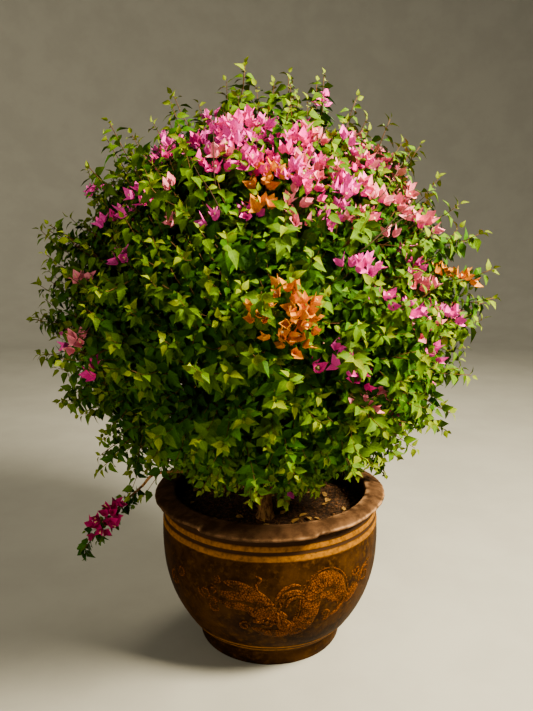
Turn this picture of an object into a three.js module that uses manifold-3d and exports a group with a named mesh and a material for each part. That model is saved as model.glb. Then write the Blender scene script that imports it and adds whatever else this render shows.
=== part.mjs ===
// A bougainvillea bush growing in a wide glazed earthenware pot. Millimetres, +Z up.
// The origin is the middle of the pot's flat foot, +X is to the right and -Y is the front.
// A short trunk stands on the soil and forks into boughs. Each bough ends where it enters a mass of foliage,
// and the masses close round the boughs into one dense, nearly round crown.
import * as THREE from "three";
import { mergeVertices } from "three/addons/utils/BufferGeometryUtils.js";
import Module from "manifold-3d";

const wasm = await Module();
wasm.setup();
const { Manifold, Mesh } = wasm;

// The gap that pieces which touch in the real plant keep here
const TOUCH = 0.3;
const TURN = 2 * Math.PI;
const GOLDEN_ANGLE = Math.PI * (3 - Math.sqrt(5));

// Pot
const RIM_RADIUS = 330;
const RIM_HEIGHT = 446;
const RIM_EDGE_DROP = 13;
const RIM_EDGE_THICKNESS = 11;
const MOUTH_RADIUS = 271;
const NECK_RADIUS = 298;
const BELLY_RADIUS = 308;
const BELLY_HEIGHT = 285;
const FOOT_RADIUS = 204;
const FOOT_BAND_HEIGHT = 40;
const POT_FLOOR = 22;
const POT_WALL = 17;
const POT_FACETS = 36;
const RIM_WAVE = 4;
const RIM_SWAY = 2;
// Where the rim's outer edge is knocked in: azimuth from +X towards +Y, half width in degrees, depth
const RIM_CHIPS = [
  { azimuth: -68, spread: 12, depth: 12 },
  { azimuth: -128, spread: 9, depth: 8 },
  { azimuth: 31, spread: 14, depth: 10 },
];

// Soil
const SOIL_HEIGHT = 378;
const SOIL_MOUND = 8;
const SOIL_ROUGHNESS = 5;
const SOIL_LUMP = 22;
const SOIL_RINGS = [0.92, 0.62, 0.35];
// The mound is flat out to the first distance from the trunk, and gone at the second
const MOUND_REACH = [105, 190];

// Trunk
const TRUNK_FOOT = new THREE.Vector3(-13, -96, SOIL_HEIGHT + SOIL_MOUND);
const TRUNK_FORK = new THREE.Vector3(-18, -52, 560);
const TRUNK_RADIUS = 18;
const ROOT_FLARE = 10;
const ROOT_FLARE_HEIGHT = 18;
const TRUNK_SIDES = 9;
const TRUNK_STEPS = 6;

// Crown
const CROWN_CENTRE = new THREE.Vector3(-20, 0, 980);
const CROWN_RADIUS = 532;
const LOWER_SWELL = 20;
const LEFT_SWELL = 8;
const SHOULDER_SLOPE = 25;
const CROWN_LOBE = 9;

// Rings of foliage masses: how many, how high they stand round the crown's centre, where the first one
// points, how far out their hearts lie as a share of the crown's reach, and their twigs besides long shoots
const RINGS = [
  { name: "upper", count: 5, elevation: 44, first: -70, heart: 0.66, twigs: 5 },
  { name: "middle", count: 7, elevation: 5, first: -90, heart: 0.66, twigs: 4 },
  { name: "lower", count: 5, elevation: -32, first: -104, heart: 0.66, twigs: 4 },
  { name: "skirt", count: 3, elevation: -66, first: -86, heart: 0.76, twigs: 4 },
];
const TOP = { name: "top", heart: 0.66, twigs: 5 };
const CORE_OUTER_SHARE = 0.91;
const CORE_INNER_SHARE = 0.45;
const CORE_REACH = 220;
const CORE_STEP = 4;
const CORE_DETAIL = 1;
const STEM_LENGTH = 160;
const STEM_SHARE = 0.5;
const STEM_STEP = 10;
const STEM_ROOM = 12;

// Room that a leaf or a core leaves to the walls between masses, and that both leave to a limb and to the pot
const LEAF_ROOM = 1.5;
const CORE_ROOM = 6;
const LIMB_ROOM = 5;
const POT_ROOM = 10;

// Boughs: radius where they leave the trunk or a larger bough, and where they enter a mass
const BOUGH_SIDES = 5;
const BOUGH_STEPS = 4;
const BOUGH_TIP_RADIUS = 5;
const LEADER_ROOT_RADIUS = 15;
const UPPER_ROOT_RADIUS = 12;
const MIDDLE_ROOT_RADIUS = 9;
const LOWER_ROOT_RADIUS = 9;
const BOUGH_SWEEP = 0.42;
const BOUGH_TURN_IN = 0.25;
const TAPER_POWER = 0.8;
const LIMB_SAMPLES = 32;

// How far up the trunk, or up an upper bough, each ring's boughs fork off, and how steeply they rise there
const FORKS = {
  upper: { share: 0.96, rise: 2 },
  middle: { share: 0.36, rise: 1 },
  lower: { share: 0.85, rise: 2 },
  skirt: { share: 0.5, rise: 0.7 },
};

// Twigs, leaves and bracts, larger than life because each leaf here stands for a small spray
const TWIG_RADIUS = 3.6;
const TWIG_TIP_RADIUS = 2.6;
const TWIG_SIDES = 3;
const TWIG_LEAN = 28;
const TWIG_ROOT_SHARE = 0.2;
const TWIG_REACH = [0.955, 1.005];
const LEAVES_ON_TWIG = 3;
const LEAVES_ON_LONG_SHOOT = 4;
const LONG_SHOOT_LEAF = 66;
const LONG_SHOOT_PITCH = 32;
const LONG_SHOOT_LEAF_OUT = 34;
const LEAF_TURN_TRIES = 6;
const LEAF_LENGTH = 84;
const LEAF_WIDTH_SHARE = 0.68;
const LEAF_THICKNESS = 3.2;
const LEAF_SPREAD = 1;
const LEAF_PITCH = 14;
const LEAF_ROOT_SINK = 0.8;
const LEAF_HANG = 0.25;
const LEAF_FACE_UP = 0.7;
const LEAF_FOLD = 0.14;
const LEAF_SIZES = [0.9, 1.1];
const YOUNG_LEAF_SHARE = 0.75;
const BLADE_WIDEST = 0.4;
const BLADE_DROOP = 0.2;
const BRACT_LENGTH = 58;
const BRACT_WIDTH_SHARE = 0.72;
const BRACT_FOLD = 0.12;
const BRACTS_IN_FLOWER = 3;
const BRACT_FLARE = 0.95;
const BLOOM_ELEVATION = 22;
const SEED = 20417;

// Long shoots that stand out of the crown: azimuth from +X towards +Y, elevation, and reach from its centre
const LONG_SHOOTS = [
  [180, -44, 672],
  [178, -27, 664],
  [182, -14, 656],
  [179, -5, 648],
  [181, 18, 626],
  [180, 46, 616],
  [180, 85.5, 620],
  [0, 76, 600],
  [0, 60, 566],
  [0, 45, 572],
  [2, 16, 606],
  [0, -1, 640],
  [0, -21, 612],
  [1, -36, 668],
  [0, -50, 618],
  [-90, 8, 610],
  [-62, -22, 618],
  [-118, 30, 596],
  [92, 12, 622],
  [120, -30, 628],
  [105, 48, 604],
];

// The trailing spray hangs over the rim on the left
const TRAILING_OVER_RIM = new THREE.Vector3(-322, -30, 486);
const TRAILING_WAY = [
  new THREE.Vector3(-110, -52, 468),
  new THREE.Vector3(-220, -36, 492),
  TRAILING_OVER_RIM,
];
const TRAILING_START = new THREE.Vector3(-362, -38, 452);
const TRAILING_FORK_SHARE = 0.6;
const TRAILING_ARCH = 14;
const TRAILING_BOUGH_STEPS = 14;
const TRAILING_STEPS = 4;
const TRAILING_TIP = new THREE.Vector3(-524, -70, 278);
const TRAILING_ROOT_RADIUS = 6.5;
const TRAILING_TIP_RADIUS = 3.8;
const TRAILING_LEAVES = 12;
const TRAILING_LEAF_LENGTH = 60;
const TRAILING_FIRST_LEAF = 0.06;
const TRAILING_FLOWERS = [0.5, 0.64];
const TRAILING_FLOWER_WAY = new THREE.Vector3(-0.1, -0.75, 0.65).normalize();
const TRAILING_BRACT_LENGTH = 46;

const UP = new THREE.Vector3(0, 0, 1);
const { degToRad, radToDeg, smoothstep, lerp } = THREE.MathUtils;

// A seeded stream of numbers from 0 to 1: mulberry32
function randomStream(seed) {
  let state = seed >>> 0;
  return () => {
    state = (state + 0x6d2b79f5) >>> 0;
    let mixed = state;
    mixed = Math.imul(mixed ^ (mixed >>> 15), mixed | 1);
    mixed ^= mixed + Math.imul(mixed ^ (mixed >>> 7), mixed | 61);
    return ((mixed ^ (mixed >>> 14)) >>> 0) / 4294967296;
  };
}

function direction(azimuth, elevation) {
  const a = degToRad(azimuth);
  const e = degToRad(elevation);
  return new THREE.Vector3(Math.cos(a) * Math.cos(e), Math.sin(a) * Math.cos(e), Math.sin(e));
}

function fromCentre(way, distance) {
  return CROWN_CENTRE.clone().addScaledVector(way, distance);
}

// Any unit vector square to one direction
function squareTo(way) {
  const helper = Math.abs(way.z) < 0.9 ? UP : new THREE.Vector3(1, 0, 0);
  return new THREE.Vector3().crossVectors(way, helper).normalize();
}

// A direction that leans away from an axis by an angle, towards a turn round that axis
function leaning(axis, lean, turn) {
  const side = squareTo(axis);
  const other = new THREE.Vector3().crossVectors(axis, side);
  return axis
    .clone()
    .multiplyScalar(Math.cos(lean))
    .addScaledVector(side, Math.sin(lean) * Math.cos(turn))
    .addScaledVector(other, Math.sin(lean) * Math.sin(turn));
}

// The level direction below another one, turned up by a rise of so much for each step outwards
function risingFrom(way, rise) {
  return new THREE.Vector3(way.x, way.y, 0).normalize().addScaledVector(UP, rise).normalize();
}

function between([low, high], share) {
  return lerp(low, high, share);
}

// How far the dense part of the crown reaches from its centre: a sphere that swells downwards and to the
// left, slopes off at the shoulders, and has shallow lobes, of five and of three round it
function crownReach(way) {
  const elevation = Math.asin(THREE.MathUtils.clamp(way.z, -1, 1));
  const azimuth = Math.atan2(way.y, way.x);
  const five = Math.sin(5 * azimuth + 4 * way.z) * Math.cos(4 * elevation + 1.3);
  const three = Math.sin(3 * azimuth - 5 * way.z);
  return (
    CROWN_RADIUS -
    LOWER_SWELL * way.z -
    LEFT_SWELL * way.x -
    SHOULDER_SLOPE * Math.max(0, Math.sin(2 * elevation)) +
    CROWN_LOBE * (five + three) * Math.cos(elevation)
  );
}

// A closed geometry as a solid for joining and cutting
function solidOf(geometry) {
  const bare = geometry.clone();
  bare.deleteAttribute("normal");
  bare.deleteAttribute("uv");
  const merged = mergeVertices(bare, 1e-4);
  return new Manifold(
    new Mesh({
      numProp: 3,
      vertProperties: merged.attributes.position.array,
      triVerts: new Uint32Array(merged.index.array),
    }),
  );
}

function geometryOf(solid) {
  const mesh = solid.getMesh();
  const positions = new Float32Array(mesh.numVert * 3);
  for (let i = 0; i < mesh.numVert; i++) {
    positions.set(mesh.vertProperties.subarray(i * mesh.numProp, i * mesh.numProp + 3), i * 3);
  }
  const geometry = new THREE.BufferGeometry();
  geometry.setAttribute("position", new THREE.BufferAttribute(positions, 3));
  geometry.setIndex(new THREE.BufferAttribute(new Uint32Array(mesh.triVerts), 1));
  geometry.computeVertexNormals();
  return geometry;
}

// The largest piece of a solid. It drops loose scraps, and fills the hollows that fusing sealed.
function largestPiece(solid) {
  const pieces = solid.decompose();
  return pieces.reduce((best, piece) => (piece.volume() > best.volume() ? piece : best));
}

function moveVertices(geometry, place) {
  const position = geometry.attributes.position;
  const vertex = new THREE.Vector3();
  for (let i = 0; i < position.count; i++) {
    vertex.fromBufferAttribute(position, i);
    place(vertex);
    position.setXYZ(i, vertex.x, vertex.y, vertex.z);
  }
  return geometry;
}

// A tapering round limb: a cylinder whose rings are carried along a curve
function limbGeometry(curve, radiusAt, sides, steps) {
  const frames = [];
  let side = squareTo(curve.getTangent(0));
  for (let i = 0; i <= steps; i++) {
    const tangent = curve.getTangent(i / steps);
    side = side.clone().addScaledVector(tangent, -side.dot(tangent)).normalize();
    const other = new THREE.Vector3().crossVectors(tangent, side);
    frames.push({ at: curve.getPoint(i / steps), side, other, radius: radiusAt(i / steps) });
  }
  const geometry = new THREE.CylinderGeometry(1, 1, steps, sides, steps);
  return moveVertices(geometry, (vertex) => {
    const frame = frames[Math.round(vertex.y + steps / 2)];
    const { x, z } = vertex;
    vertex
      .copy(frame.at)
      .addScaledVector(frame.side, z * frame.radius)
      .addScaledVector(frame.other, x * frame.radius);
  });
}

function taper(rootRadius, tipRadius) {
  return (t) => lerp(rootRadius, tipRadius, Math.pow(t, TAPER_POWER));
}

// The curve of a bough: it leaves its root one way and arrives at its tip another
function boughCurve(root, leaving, tip, arriving) {
  const reach = root.distanceTo(tip) * BOUGH_SWEEP;
  return new THREE.CubicBezierCurve3(
    root,
    root.clone().addScaledVector(leaving, reach),
    tip.clone().addScaledVector(arriving, -reach),
    tip,
  );
}

function makePot() {
  const lipUnder = RIM_HEIGHT - RIM_EDGE_DROP - RIM_EDGE_THICKNESS;
  const outer = new THREE.CatmullRomCurve3(
    [
      [FOOT_RADIUS + 8, FOOT_BAND_HEIGHT + 6],
      [252, 96],
      [284, 160],
      [302, 225],
      [BELLY_RADIUS, BELLY_HEIGHT],
      [308, 345],
      [NECK_RADIUS + 4, 388],
    ].map(([r, z]) => new THREE.Vector3(r, z, 0)),
  ).getPoints(7);
  const inner = outer
    .filter((p, i) => i > 0 && i % 4 === 0)
    .map((p) => [Math.min(p.x - POT_WALL, MOUTH_RADIUS + 18), p.y])
    .reverse();
  const profile = [
    [0, 0],
    [FOOT_RADIUS - 4, 0],
    [FOOT_RADIUS, 5],
    [FOOT_RADIUS + 3, FOOT_BAND_HEIGHT - 8],
    [FOOT_RADIUS + 2, FOOT_BAND_HEIGHT],
    ...outer.map((p) => [p.x, p.y]),
    [NECK_RADIUS, lipUnder - 8],
    [NECK_RADIUS + 10, lipUnder],
    [RIM_RADIUS - 4, lipUnder],
    [RIM_RADIUS, lipUnder + 4],
    [RIM_RADIUS - 1, RIM_HEIGHT - RIM_EDGE_DROP],
    [RIM_RADIUS - 17, RIM_HEIGHT - RIM_EDGE_DROP * 0.4],
    [MOUTH_RADIUS + 10, RIM_HEIGHT],
    [MOUTH_RADIUS, RIM_HEIGHT - 6],
    [MOUTH_RADIUS + 2, RIM_HEIGHT - 26],
    ...inner,
    [FOOT_RADIUS - POT_WALL, POT_FLOOR + 12],
    [FOOT_RADIUS - POT_WALL - 12, POT_FLOOR],
    [0, POT_FLOOR],
  ];
  const points = profile.map(([r, z]) => new THREE.Vector2(r, z));
  const geometry = new THREE.LatheGeometry(points, POT_FACETS).rotateX(Math.PI / 2);
  return { geometry: moveVertices(geometry, waveRim), profile };
}

// The hand-made rim waves a little in and out, and up and down, and is knocked in at a few places
function waveRim(vertex) {
  const radius = Math.hypot(vertex.x, vertex.y);
  const outward = smoothstep(radius, NECK_RADIUS + 8, RIM_RADIUS);
  if (vertex.z < RIM_HEIGHT - RIM_EDGE_DROP - RIM_EDGE_THICKNESS - 1 || outward === 0) return;
  const azimuth = Math.atan2(vertex.y, vertex.x);
  const wave = RIM_WAVE * (Math.sin(3 * azimuth + 0.6) * 0.6 + Math.sin(7 * azimuth + 2.1) * 0.4);
  const chipped = RIM_CHIPS.reduce((sum, chip) => {
    const turn = radToDeg(azimuth) - chip.azimuth;
    return sum + chip.depth * Math.exp(-Math.pow(turn / chip.spread, 2));
  }, 0);
  const radial = 1 + ((wave - chipped) * outward) / radius;
  vertex.x *= radial;
  vertex.y *= radial;
  vertex.z += RIM_SWAY * outward * Math.sin(2 * azimuth + 0.9);
}

// The inside radius of the pot at a height, read off its profile
function insideRadius(profile, height) {
  const inside = profile.slice(profile.findIndex(([r, z]) => r === MOUTH_RADIUS && z < RIM_HEIGHT));
  for (let i = 1; i < inside.length; i++) {
    const [r0, z0] = inside[i - 1];
    const [r1, z1] = inside[i];
    if (z1 <= height && height <= z0) return THREE.MathUtils.mapLinear(height, z0, z1, r0, r1);
  }
  throw new Error("that height is outside the pot");
}

// Soil fills the pot, with a low mound whose top is flat under the trunk
function makeSoil(profile) {
  const wall = profile
    .slice(profile.findIndex(([r, z]) => r === MOUTH_RADIUS && z < RIM_HEIGHT))
    .filter(([r, z]) => z < SOIL_HEIGHT && r > 0)
    .map(([r, z]) => [r - TOUCH, z + TOUCH])
    .reverse();
  const edge = insideRadius(profile, SOIL_HEIGHT) - TOUCH;
  const rings = SOIL_RINGS.map((share) => [edge * share, SOIL_HEIGHT]);
  const outline = [[0, POT_FLOOR + TOUCH], ...wall, [edge, SOIL_HEIGHT], ...rings, [0, SOIL_HEIGHT]];
  const points = outline.map(([r, z]) => new THREE.Vector2(r, z));
  const geometry = new THREE.LatheGeometry(points, POT_FACETS).rotateX(Math.PI / 2);
  return moveVertices(geometry, (vertex) => {
    const radius = Math.hypot(vertex.x, vertex.y);
    if (vertex.z < SOIL_HEIGHT - TOUCH || radius > edge - TOUCH) return;
    const fromTrunk = Math.hypot(vertex.x - TRUNK_FOOT.x, vertex.y - TRUNK_FOOT.y);
    const rough = Math.sin(vertex.x / SOIL_LUMP) * Math.cos(vertex.y / SOIL_LUMP) * SOIL_ROUGHNESS;
    const flat = 1 - smoothstep(fromTrunk, ...MOUND_REACH);
    vertex.z += (SOIL_MOUND - TOUCH) * flat + (1 - flat) * rough;
  });
}

const trunkCurve = new THREE.CubicBezierCurve3(
  TRUNK_FOOT,
  TRUNK_FOOT.clone().add(new THREE.Vector3(0, 0, 60)),
  TRUNK_FORK.clone().add(new THREE.Vector3(4, -8, -50)),
  TRUNK_FORK,
);

function trunkRadius(t) {
  const height = t * (TRUNK_FORK.z - TRUNK_FOOT.z);
  return TRUNK_RADIUS * (1 - 0.12 * t) + ROOT_FLARE * Math.exp(-height / ROOT_FLARE_HEIGHT);
}

// The foliage masses: one on top, and rings round the crown
const masses = [{ name: TOP.name, ring: TOP, way: UP.clone() }];
for (const ring of RINGS) {
  for (let k = 0; k < ring.count; k++) {
    const way = direction(ring.first + (360 / ring.count) * k, ring.elevation);
    masses.push({ name: `${ring.name}_${k + 1}`, ring, way });
  }
}
for (const mass of masses) {
  mass.heart = fromCentre(mass.way, crownReach(mass.way) * mass.ring.heart);
  mass.walls = masses
    .filter((other) => other !== mass)
    .map((other) => mass.way.clone().sub(other.way).normalize());
}

// A point keeps to a mass's own space if it is inside every wall between that mass and its neighbours
function insideCell(mass, point, margin) {
  const arm = point.clone().sub(CROWN_CENTRE);
  return mass.walls.every((wall) => arm.dot(wall) > margin);
}

// Where a bough ends and a mass's stem begins: short of the mass's heart, but inside the mass's own space
function entry(mass, from) {
  const arriving = mass.heart.clone().sub(from).normalize().lerp(mass.way, BOUGH_TURN_IN).normalize();
  const before = (distance) => mass.heart.clone().addScaledVector(arriving, -distance);
  let stem = Math.min(STEM_LENGTH, STEM_SHARE * from.distanceTo(mass.heart));
  while (stem > STEM_STEP && !insideCell(mass, before(stem), STEM_ROOM)) stem -= STEM_STEP;
  return { arriving, tip: before(stem) };
}

// Every limb as a curve with a radius, in the order in which each is cut clear of those before it
const trunk = {
  name: "trunk",
  curve: trunkCurve,
  radiusAt: trunkRadius,
  sides: TRUNK_SIDES,
  steps: TRUNK_STEPS,
};
const limbs = [trunk];

function addBough(mass, root, leaving, rootRadius) {
  const { arriving, tip } = entry(mass, root);
  mass.arriving = arriving;
  mass.bough = {
    name: `bough_${mass.name}`,
    curve: boughCurve(root, leaving, tip, arriving),
    radiusAt: taper(rootRadius, BOUGH_TIP_RADIUS),
    sides: BOUGH_SIDES,
    steps: BOUGH_STEPS,
  };
  limbs.push(mass.bough);
}

function ringMasses(name) {
  return masses.filter((mass) => mass.ring.name === name);
}

// A ring's boughs, forking off the trunk
function addRing(name, rootRadius) {
  const { share, rise } = FORKS[name];
  const root = trunkCurve.getPoint(share);
  ringMasses(name).forEach((mass) => addBough(mass, root, risingFrom(mass.way, rise), rootRadius));
}

// The middle ring's boughs, each forking off the upper bough that passes nearest to it
function addMiddleRing() {
  const { share, rise } = FORKS.middle;
  const forks = ringMasses("upper").map((upper) => upper.bough.curve.getPoint(share));
  for (const mass of ringMasses("middle")) {
    const gap = (point) => point.distanceTo(mass.heart);
    const root = forks.reduce((best, point) => (gap(point) < gap(best) ? point : best));
    addBough(mass, root, risingFrom(mass.way, rise), MIDDLE_ROOT_RADIUS);
  }
}

// The long thin bough that passes over the rim to the trailing spray
function addTrailingBough() {
  limbs.push({
    name: "bough_trailing",
    curve: new THREE.CatmullRomCurve3([
      trunkCurve.getPoint(TRAILING_FORK_SHARE),
      ...TRAILING_WAY,
      TRAILING_START,
    ]),
    radiusAt: taper(TRAILING_ROOT_RADIUS, TRAILING_TIP_RADIUS),
    sides: BOUGH_SIDES,
    steps: TRAILING_BOUGH_STEPS,
  });
}

const leaderWay = trunkCurve.getTangent(1);
addBough(masses[0], TRUNK_FORK.clone().addScaledVector(leaderWay, TOUCH), leaderWay, LEADER_ROOT_RADIUS);
addRing("upper", UPPER_ROOT_RADIUS);
addMiddleRing();
addRing("lower", LOWER_ROOT_RADIUS);
addRing("skirt", LOWER_ROOT_RADIUS);
addTrailingBough();

// Points along the limbs, for keeping leaves and cores clear of every limb
const limbPoints = limbs.flatMap((limb) =>
  limb.curve.getPoints(LIMB_SAMPLES).map((at, i) => ({ at, radius: limb.radiusAt(i / LIMB_SAMPLES) })),
);

function clearOfLimbs(point, margin) {
  return limbPoints.every(({ at, radius }) => at.distanceTo(point) > radius + margin);
}

// A point is clear of the pot and soil above the rim, inside the mouth over the soil, or outside the rim
function clearOfPot(point) {
  const radius = Math.hypot(point.x, point.y);
  const overRim = point.z > RIM_HEIGHT + POT_ROOM;
  const overSoil = radius < MOUTH_RADIUS - POT_ROOM && point.z > SOIL_HEIGHT + SOIL_MOUND + POT_ROOM;
  return overRim || overSoil || radius > RIM_RADIUS + POT_ROOM;
}

// A limb made thicker all round, for cutting other pieces clear of it
function grownLimb(limb, gap) {
  return solidOf(limbGeometry(limb.curve, (t) => limb.radiusAt(t) + gap, limb.sides, limb.steps));
}

// Whether a leaf or twig may reach all of some points
function mayStand(mass, points, room) {
  return points.every(
    (point) => insideCell(mass, point, room) && clearOfLimbs(point, LIMB_ROOM) && clearOfPot(point),
  );
}

// Whether a mass's dense core may reach a point: inside the mass's space, under the crown's surface,
// outside its hollow middle, and clear of every limb
function inCore(mass, point) {
  const arm = point.clone().sub(CROWN_CENTRE);
  const share = arm.length() / crownReach(arm.clone().normalize());
  const inShell = share > CORE_INNER_SHARE && share < CORE_OUTER_SHARE;
  const clear = clearOfLimbs(point, LIMB_ROOM * 2) && clearOfPot(point);
  return inShell && clear && insideCell(mass, point, CORE_ROOM);
}

// The dense core of a mass: a ball round its heart, each corner pulled out as far as the core may reach
function coreSolid(mass) {
  const geometry = new THREE.IcosahedronGeometry(1, CORE_DETAIL);
  return solidOf(
    moveVertices(geometry, (vertex) => {
      const way = vertex.clone().normalize();
      const outTo = (reach) => mass.heart.clone().addScaledVector(way, reach);
      let reach = CORE_STEP;
      while (reach < CORE_REACH && inCore(mass, outTo(reach + CORE_STEP))) reach += CORE_STEP;
      vertex.copy(outTo(reach));
    }),
  );
}

// A leaf or bract of eight faces: folded up along its midrib, drooping to its tip
function bladeGeometry(root, way, face, length, width, fold) {
  const across = new THREE.Vector3().crossVectors(face, way).normalize();
  const normal = new THREE.Vector3().crossVectors(way, across).normalize();
  const geometry = new THREE.OctahedronGeometry(1);
  return moveVertices(geometry, (vertex) => {
    const { x, y, z } = vertex;
    const atTip = x > 0.5;
    const atRoot = x < -0.5;
    const along = atTip ? length : atRoot ? 0 : length * BLADE_WIDEST;
    const droop = atTip ? -length * BLADE_DROOP : 0;
    const lift = Math.abs(y) > 0.5 ? fold * width : 0;
    vertex
      .copy(root)
      .addScaledVector(way, along)
      .addScaledVector(across, (y * width) / 2)
      .addScaledVector(normal, droop + lift + (z * LEAF_THICKNESS) / 2);
  });
}

function cornersOf(geometry) {
  const { position } = geometry.attributes;
  const corner = (_, i) => new THREE.Vector3().fromBufferAttribute(position, i);
  return Array.from({ length: position.count }, corner);
}

// Leaves stand round a twig by the golden angle, spread outwards and turn their faces up and out
function leafGeometry(at, twigWay, turn, length) {
  const way = leaning(twigWay, LEAF_SPREAD, turn).addScaledVector(UP, -LEAF_HANG).normalize();
  const face = at.clone().sub(CROWN_CENTRE).normalize().addScaledVector(UP, LEAF_FACE_UP).normalize();
  const root = at.clone().addScaledVector(way, -LEAF_ROOT_SINK);
  return bladeGeometry(root, way, face, length, length * LEAF_WIDTH_SHARE, LEAF_FOLD);
}

// A leaf that keeps to its mass's space: it is turned on round its twig until it fits, or else is left out
function fittingLeaf(mass, at, twigWay, index, length, random) {
  const first = index * GOLDEN_ANGLE + random() * TURN;
  for (let k = 0; k < LEAF_TURN_TRIES; k++) {
    const leaf = leafGeometry(at, twigWay, first + (TURN / LEAF_TURN_TRIES) * k, length);
    if (mayStand(mass, cornersOf(leaf), LEAF_ROOM)) return leaf;
  }
  return null;
}

// Three bracts flare round a flower's axis
function flowerGeometries(at, axis, length, random) {
  const first = random() * TURN;
  return Array.from({ length: BRACTS_IN_FLOWER }, (_, k) => {
    const way = leaning(axis, BRACT_FLARE, first + (TURN / BRACTS_IN_FLOWER) * k);
    return bladeGeometry(at, way, axis, length, length * BRACT_WIDTH_SHARE, BRACT_FOLD);
  });
}

// Where the twigs of a mass end: points spread by the golden angle over its part of the crown's surface,
// then the long shoots that belong to it
function twigTips(mass, random) {
  const spread = Array.from({ length: mass.ring.twigs }, (_, k) => {
    const lean = degToRad(TWIG_LEAN) * Math.sqrt((k + 0.4) / mass.ring.twigs);
    const way = leaning(mass.way, lean, k * GOLDEN_ANGLE + 0.5);
    const tip = fromCentre(way, crownReach(way) * between(TWIG_REACH, random()));
    return { tip, leaves: LEAVES_ON_TWIG, length: LEAF_LENGTH, pitch: LEAF_PITCH };
  });
  const long = LONG_SHOOTS.map(([azimuth, elevation, reach]) => {
    const tip = fromCentre(direction(azimuth, elevation), reach - LONG_SHOOT_LEAF_OUT);
    return { tip, leaves: LEAVES_ON_LONG_SHOOT, length: LONG_SHOOT_LEAF, pitch: LONG_SHOOT_PITCH };
  });
  return [...spread, ...long.filter(({ tip }) => insideCell(mass, tip, LEAF_ROOM))];
}

function isBlooming(mass) {
  return radToDeg(Math.asin(mass.way.z)) > BLOOM_ELEVATION;
}

// One twig of a mass with its leaves, the youngest at its end, or with a flower there instead
function twigParts(mass, shoot, flowering, random) {
  const { tip, leaves, length, pitch } = shoot;
  const twig = new THREE.LineCurve3(mass.heart.clone().lerp(tip, TWIG_ROOT_SHARE), tip);
  if (!mayStand(mass, twig.getPoints(5).slice(2), LEAF_ROOM + TWIG_RADIUS)) return [];
  const parts = [limbGeometry(twig, taper(TWIG_RADIUS, TWIG_TIP_RADIUS), TWIG_SIDES, 1)];
  const along = twig.getTangent(0);
  const end = tip.clone().addScaledVector(along, -TWIG_TIP_RADIUS);
  for (let i = flowering ? BRACTS_IN_FLOWER - 1 : 0; i < leaves; i++) {
    const at = end.clone().addScaledVector(along, -pitch * i);
    const size = length * (i === 0 ? YOUNG_LEAF_SHARE : 1) * between(LEAF_SIZES, random());
    parts.push(fittingLeaf(mass, at, along, i, size, random));
  }
  if (flowering) {
    const bracts = flowerGeometries(end, along.clone().add(UP).normalize(), BRACT_LENGTH, random);
    parts.push(...bracts.filter((bract) => mayStand(mass, cornersOf(bract), LEAF_ROOM)));
  }
  return parts.filter((part) => part !== null);
}

// One mass of foliage: its core and stem, with twigs that stand out of the core and carry leaves and flowers,
// cut clear of every limb that passes
function makeMass(mass, seed) {
  const random = randomStream(seed);
  const start = mass.bough.curve.getPoint(1).addScaledVector(mass.arriving, TOUCH);
  const stem = new THREE.LineCurve3(start, mass.heart);
  const parts = [coreSolid(mass)];
  parts.push(solidOf(limbGeometry(stem, taper(BOUGH_TIP_RADIUS, TWIG_RADIUS), TWIG_SIDES, 1)));
  twigTips(mass, random).forEach((shoot, k) => {
    const flowering = isBlooming(mass) && k % 2 === 1;
    parts.push(...twigParts(mass, shoot, flowering, random).map(solidOf));
  });
  const whole = Manifold.union(parts);
  const grown = limbs.map((limb) => grownLimb(limb, LIMB_ROOM));
  const passing = grown.filter((limb) => !limb.intersect(whole).isEmpty());
  return geometryOf(largestPiece(passing.reduce((rest, limb) => rest.subtract(limb), whole)));
}

// The trailing spray: one long drooping twig with leaves, and flowers towards its end
function makeTrailingSpray(seed) {
  const random = randomStream(seed);
  const bough = limbs[limbs.length - 1].curve;
  const start = bough.getPoint(1).addScaledVector(bough.getTangent(1), TOUCH);
  const middle = start.clone().lerp(TRAILING_TIP, 0.5).addScaledVector(UP, TRAILING_ARCH);
  const curve = new THREE.CatmullRomCurve3([start, middle, TRAILING_TIP]);
  const radiusAt = taper(TRAILING_TIP_RADIUS, TWIG_TIP_RADIUS);
  const blades = [];
  for (let i = 0; i < TRAILING_LEAVES; i++) {
    const t = lerp(TRAILING_FIRST_LEAF, 1, i / (TRAILING_LEAVES - 1));
    const length = TRAILING_LEAF_LENGTH * between(LEAF_SIZES, random());
    blades.push(leafGeometry(curve.getPoint(t), curve.getTangent(t), i * GOLDEN_ANGLE, length));
  }
  for (const t of TRAILING_FLOWERS) {
    blades.push(...flowerGeometries(curve.getPoint(t), TRAILING_FLOWER_WAY, TRAILING_BRACT_LENGTH, random));
  }
  const fromBough = (point) => point.distanceTo(TRAILING_START) > TRAILING_LEAF_LENGTH / 3;
  const fits = (blade) => cornersOf(blade).every((point) => clearOfPot(point) && fromBough(point));
  const twig = limbGeometry(curve, radiusAt, TWIG_SIDES, TRAILING_STEPS);
  return geometryOf(largestPiece(Manifold.union([twig, ...blades.filter(fits)].map(solidOf))));
}

// The trunk ends in a flat cut at the soil
function cutFlat(vertex) {
  if (vertex.z < TRUNK_FOOT.z + TOUCH) vertex.z = TRUNK_FOOT.z;
}

// Each limb is cut clear of the limbs before it, so that a fork fits its parent like a saddle
function makeLimbs() {
  const made = [];
  for (const limb of limbs) {
    const geometry = limbGeometry(limb.curve, limb.radiusAt, limb.sides, limb.steps);
    if (limb === trunk) moveVertices(geometry, cutFlat);
    let solid = solidOf(geometry);
    for (const earlier of made) solid = solid.subtract(earlier.grown);
    made.push({ name: limb.name, grown: grownLimb(limb, TOUCH), solid: largestPiece(solid) });
  }
  return made;
}

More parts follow.
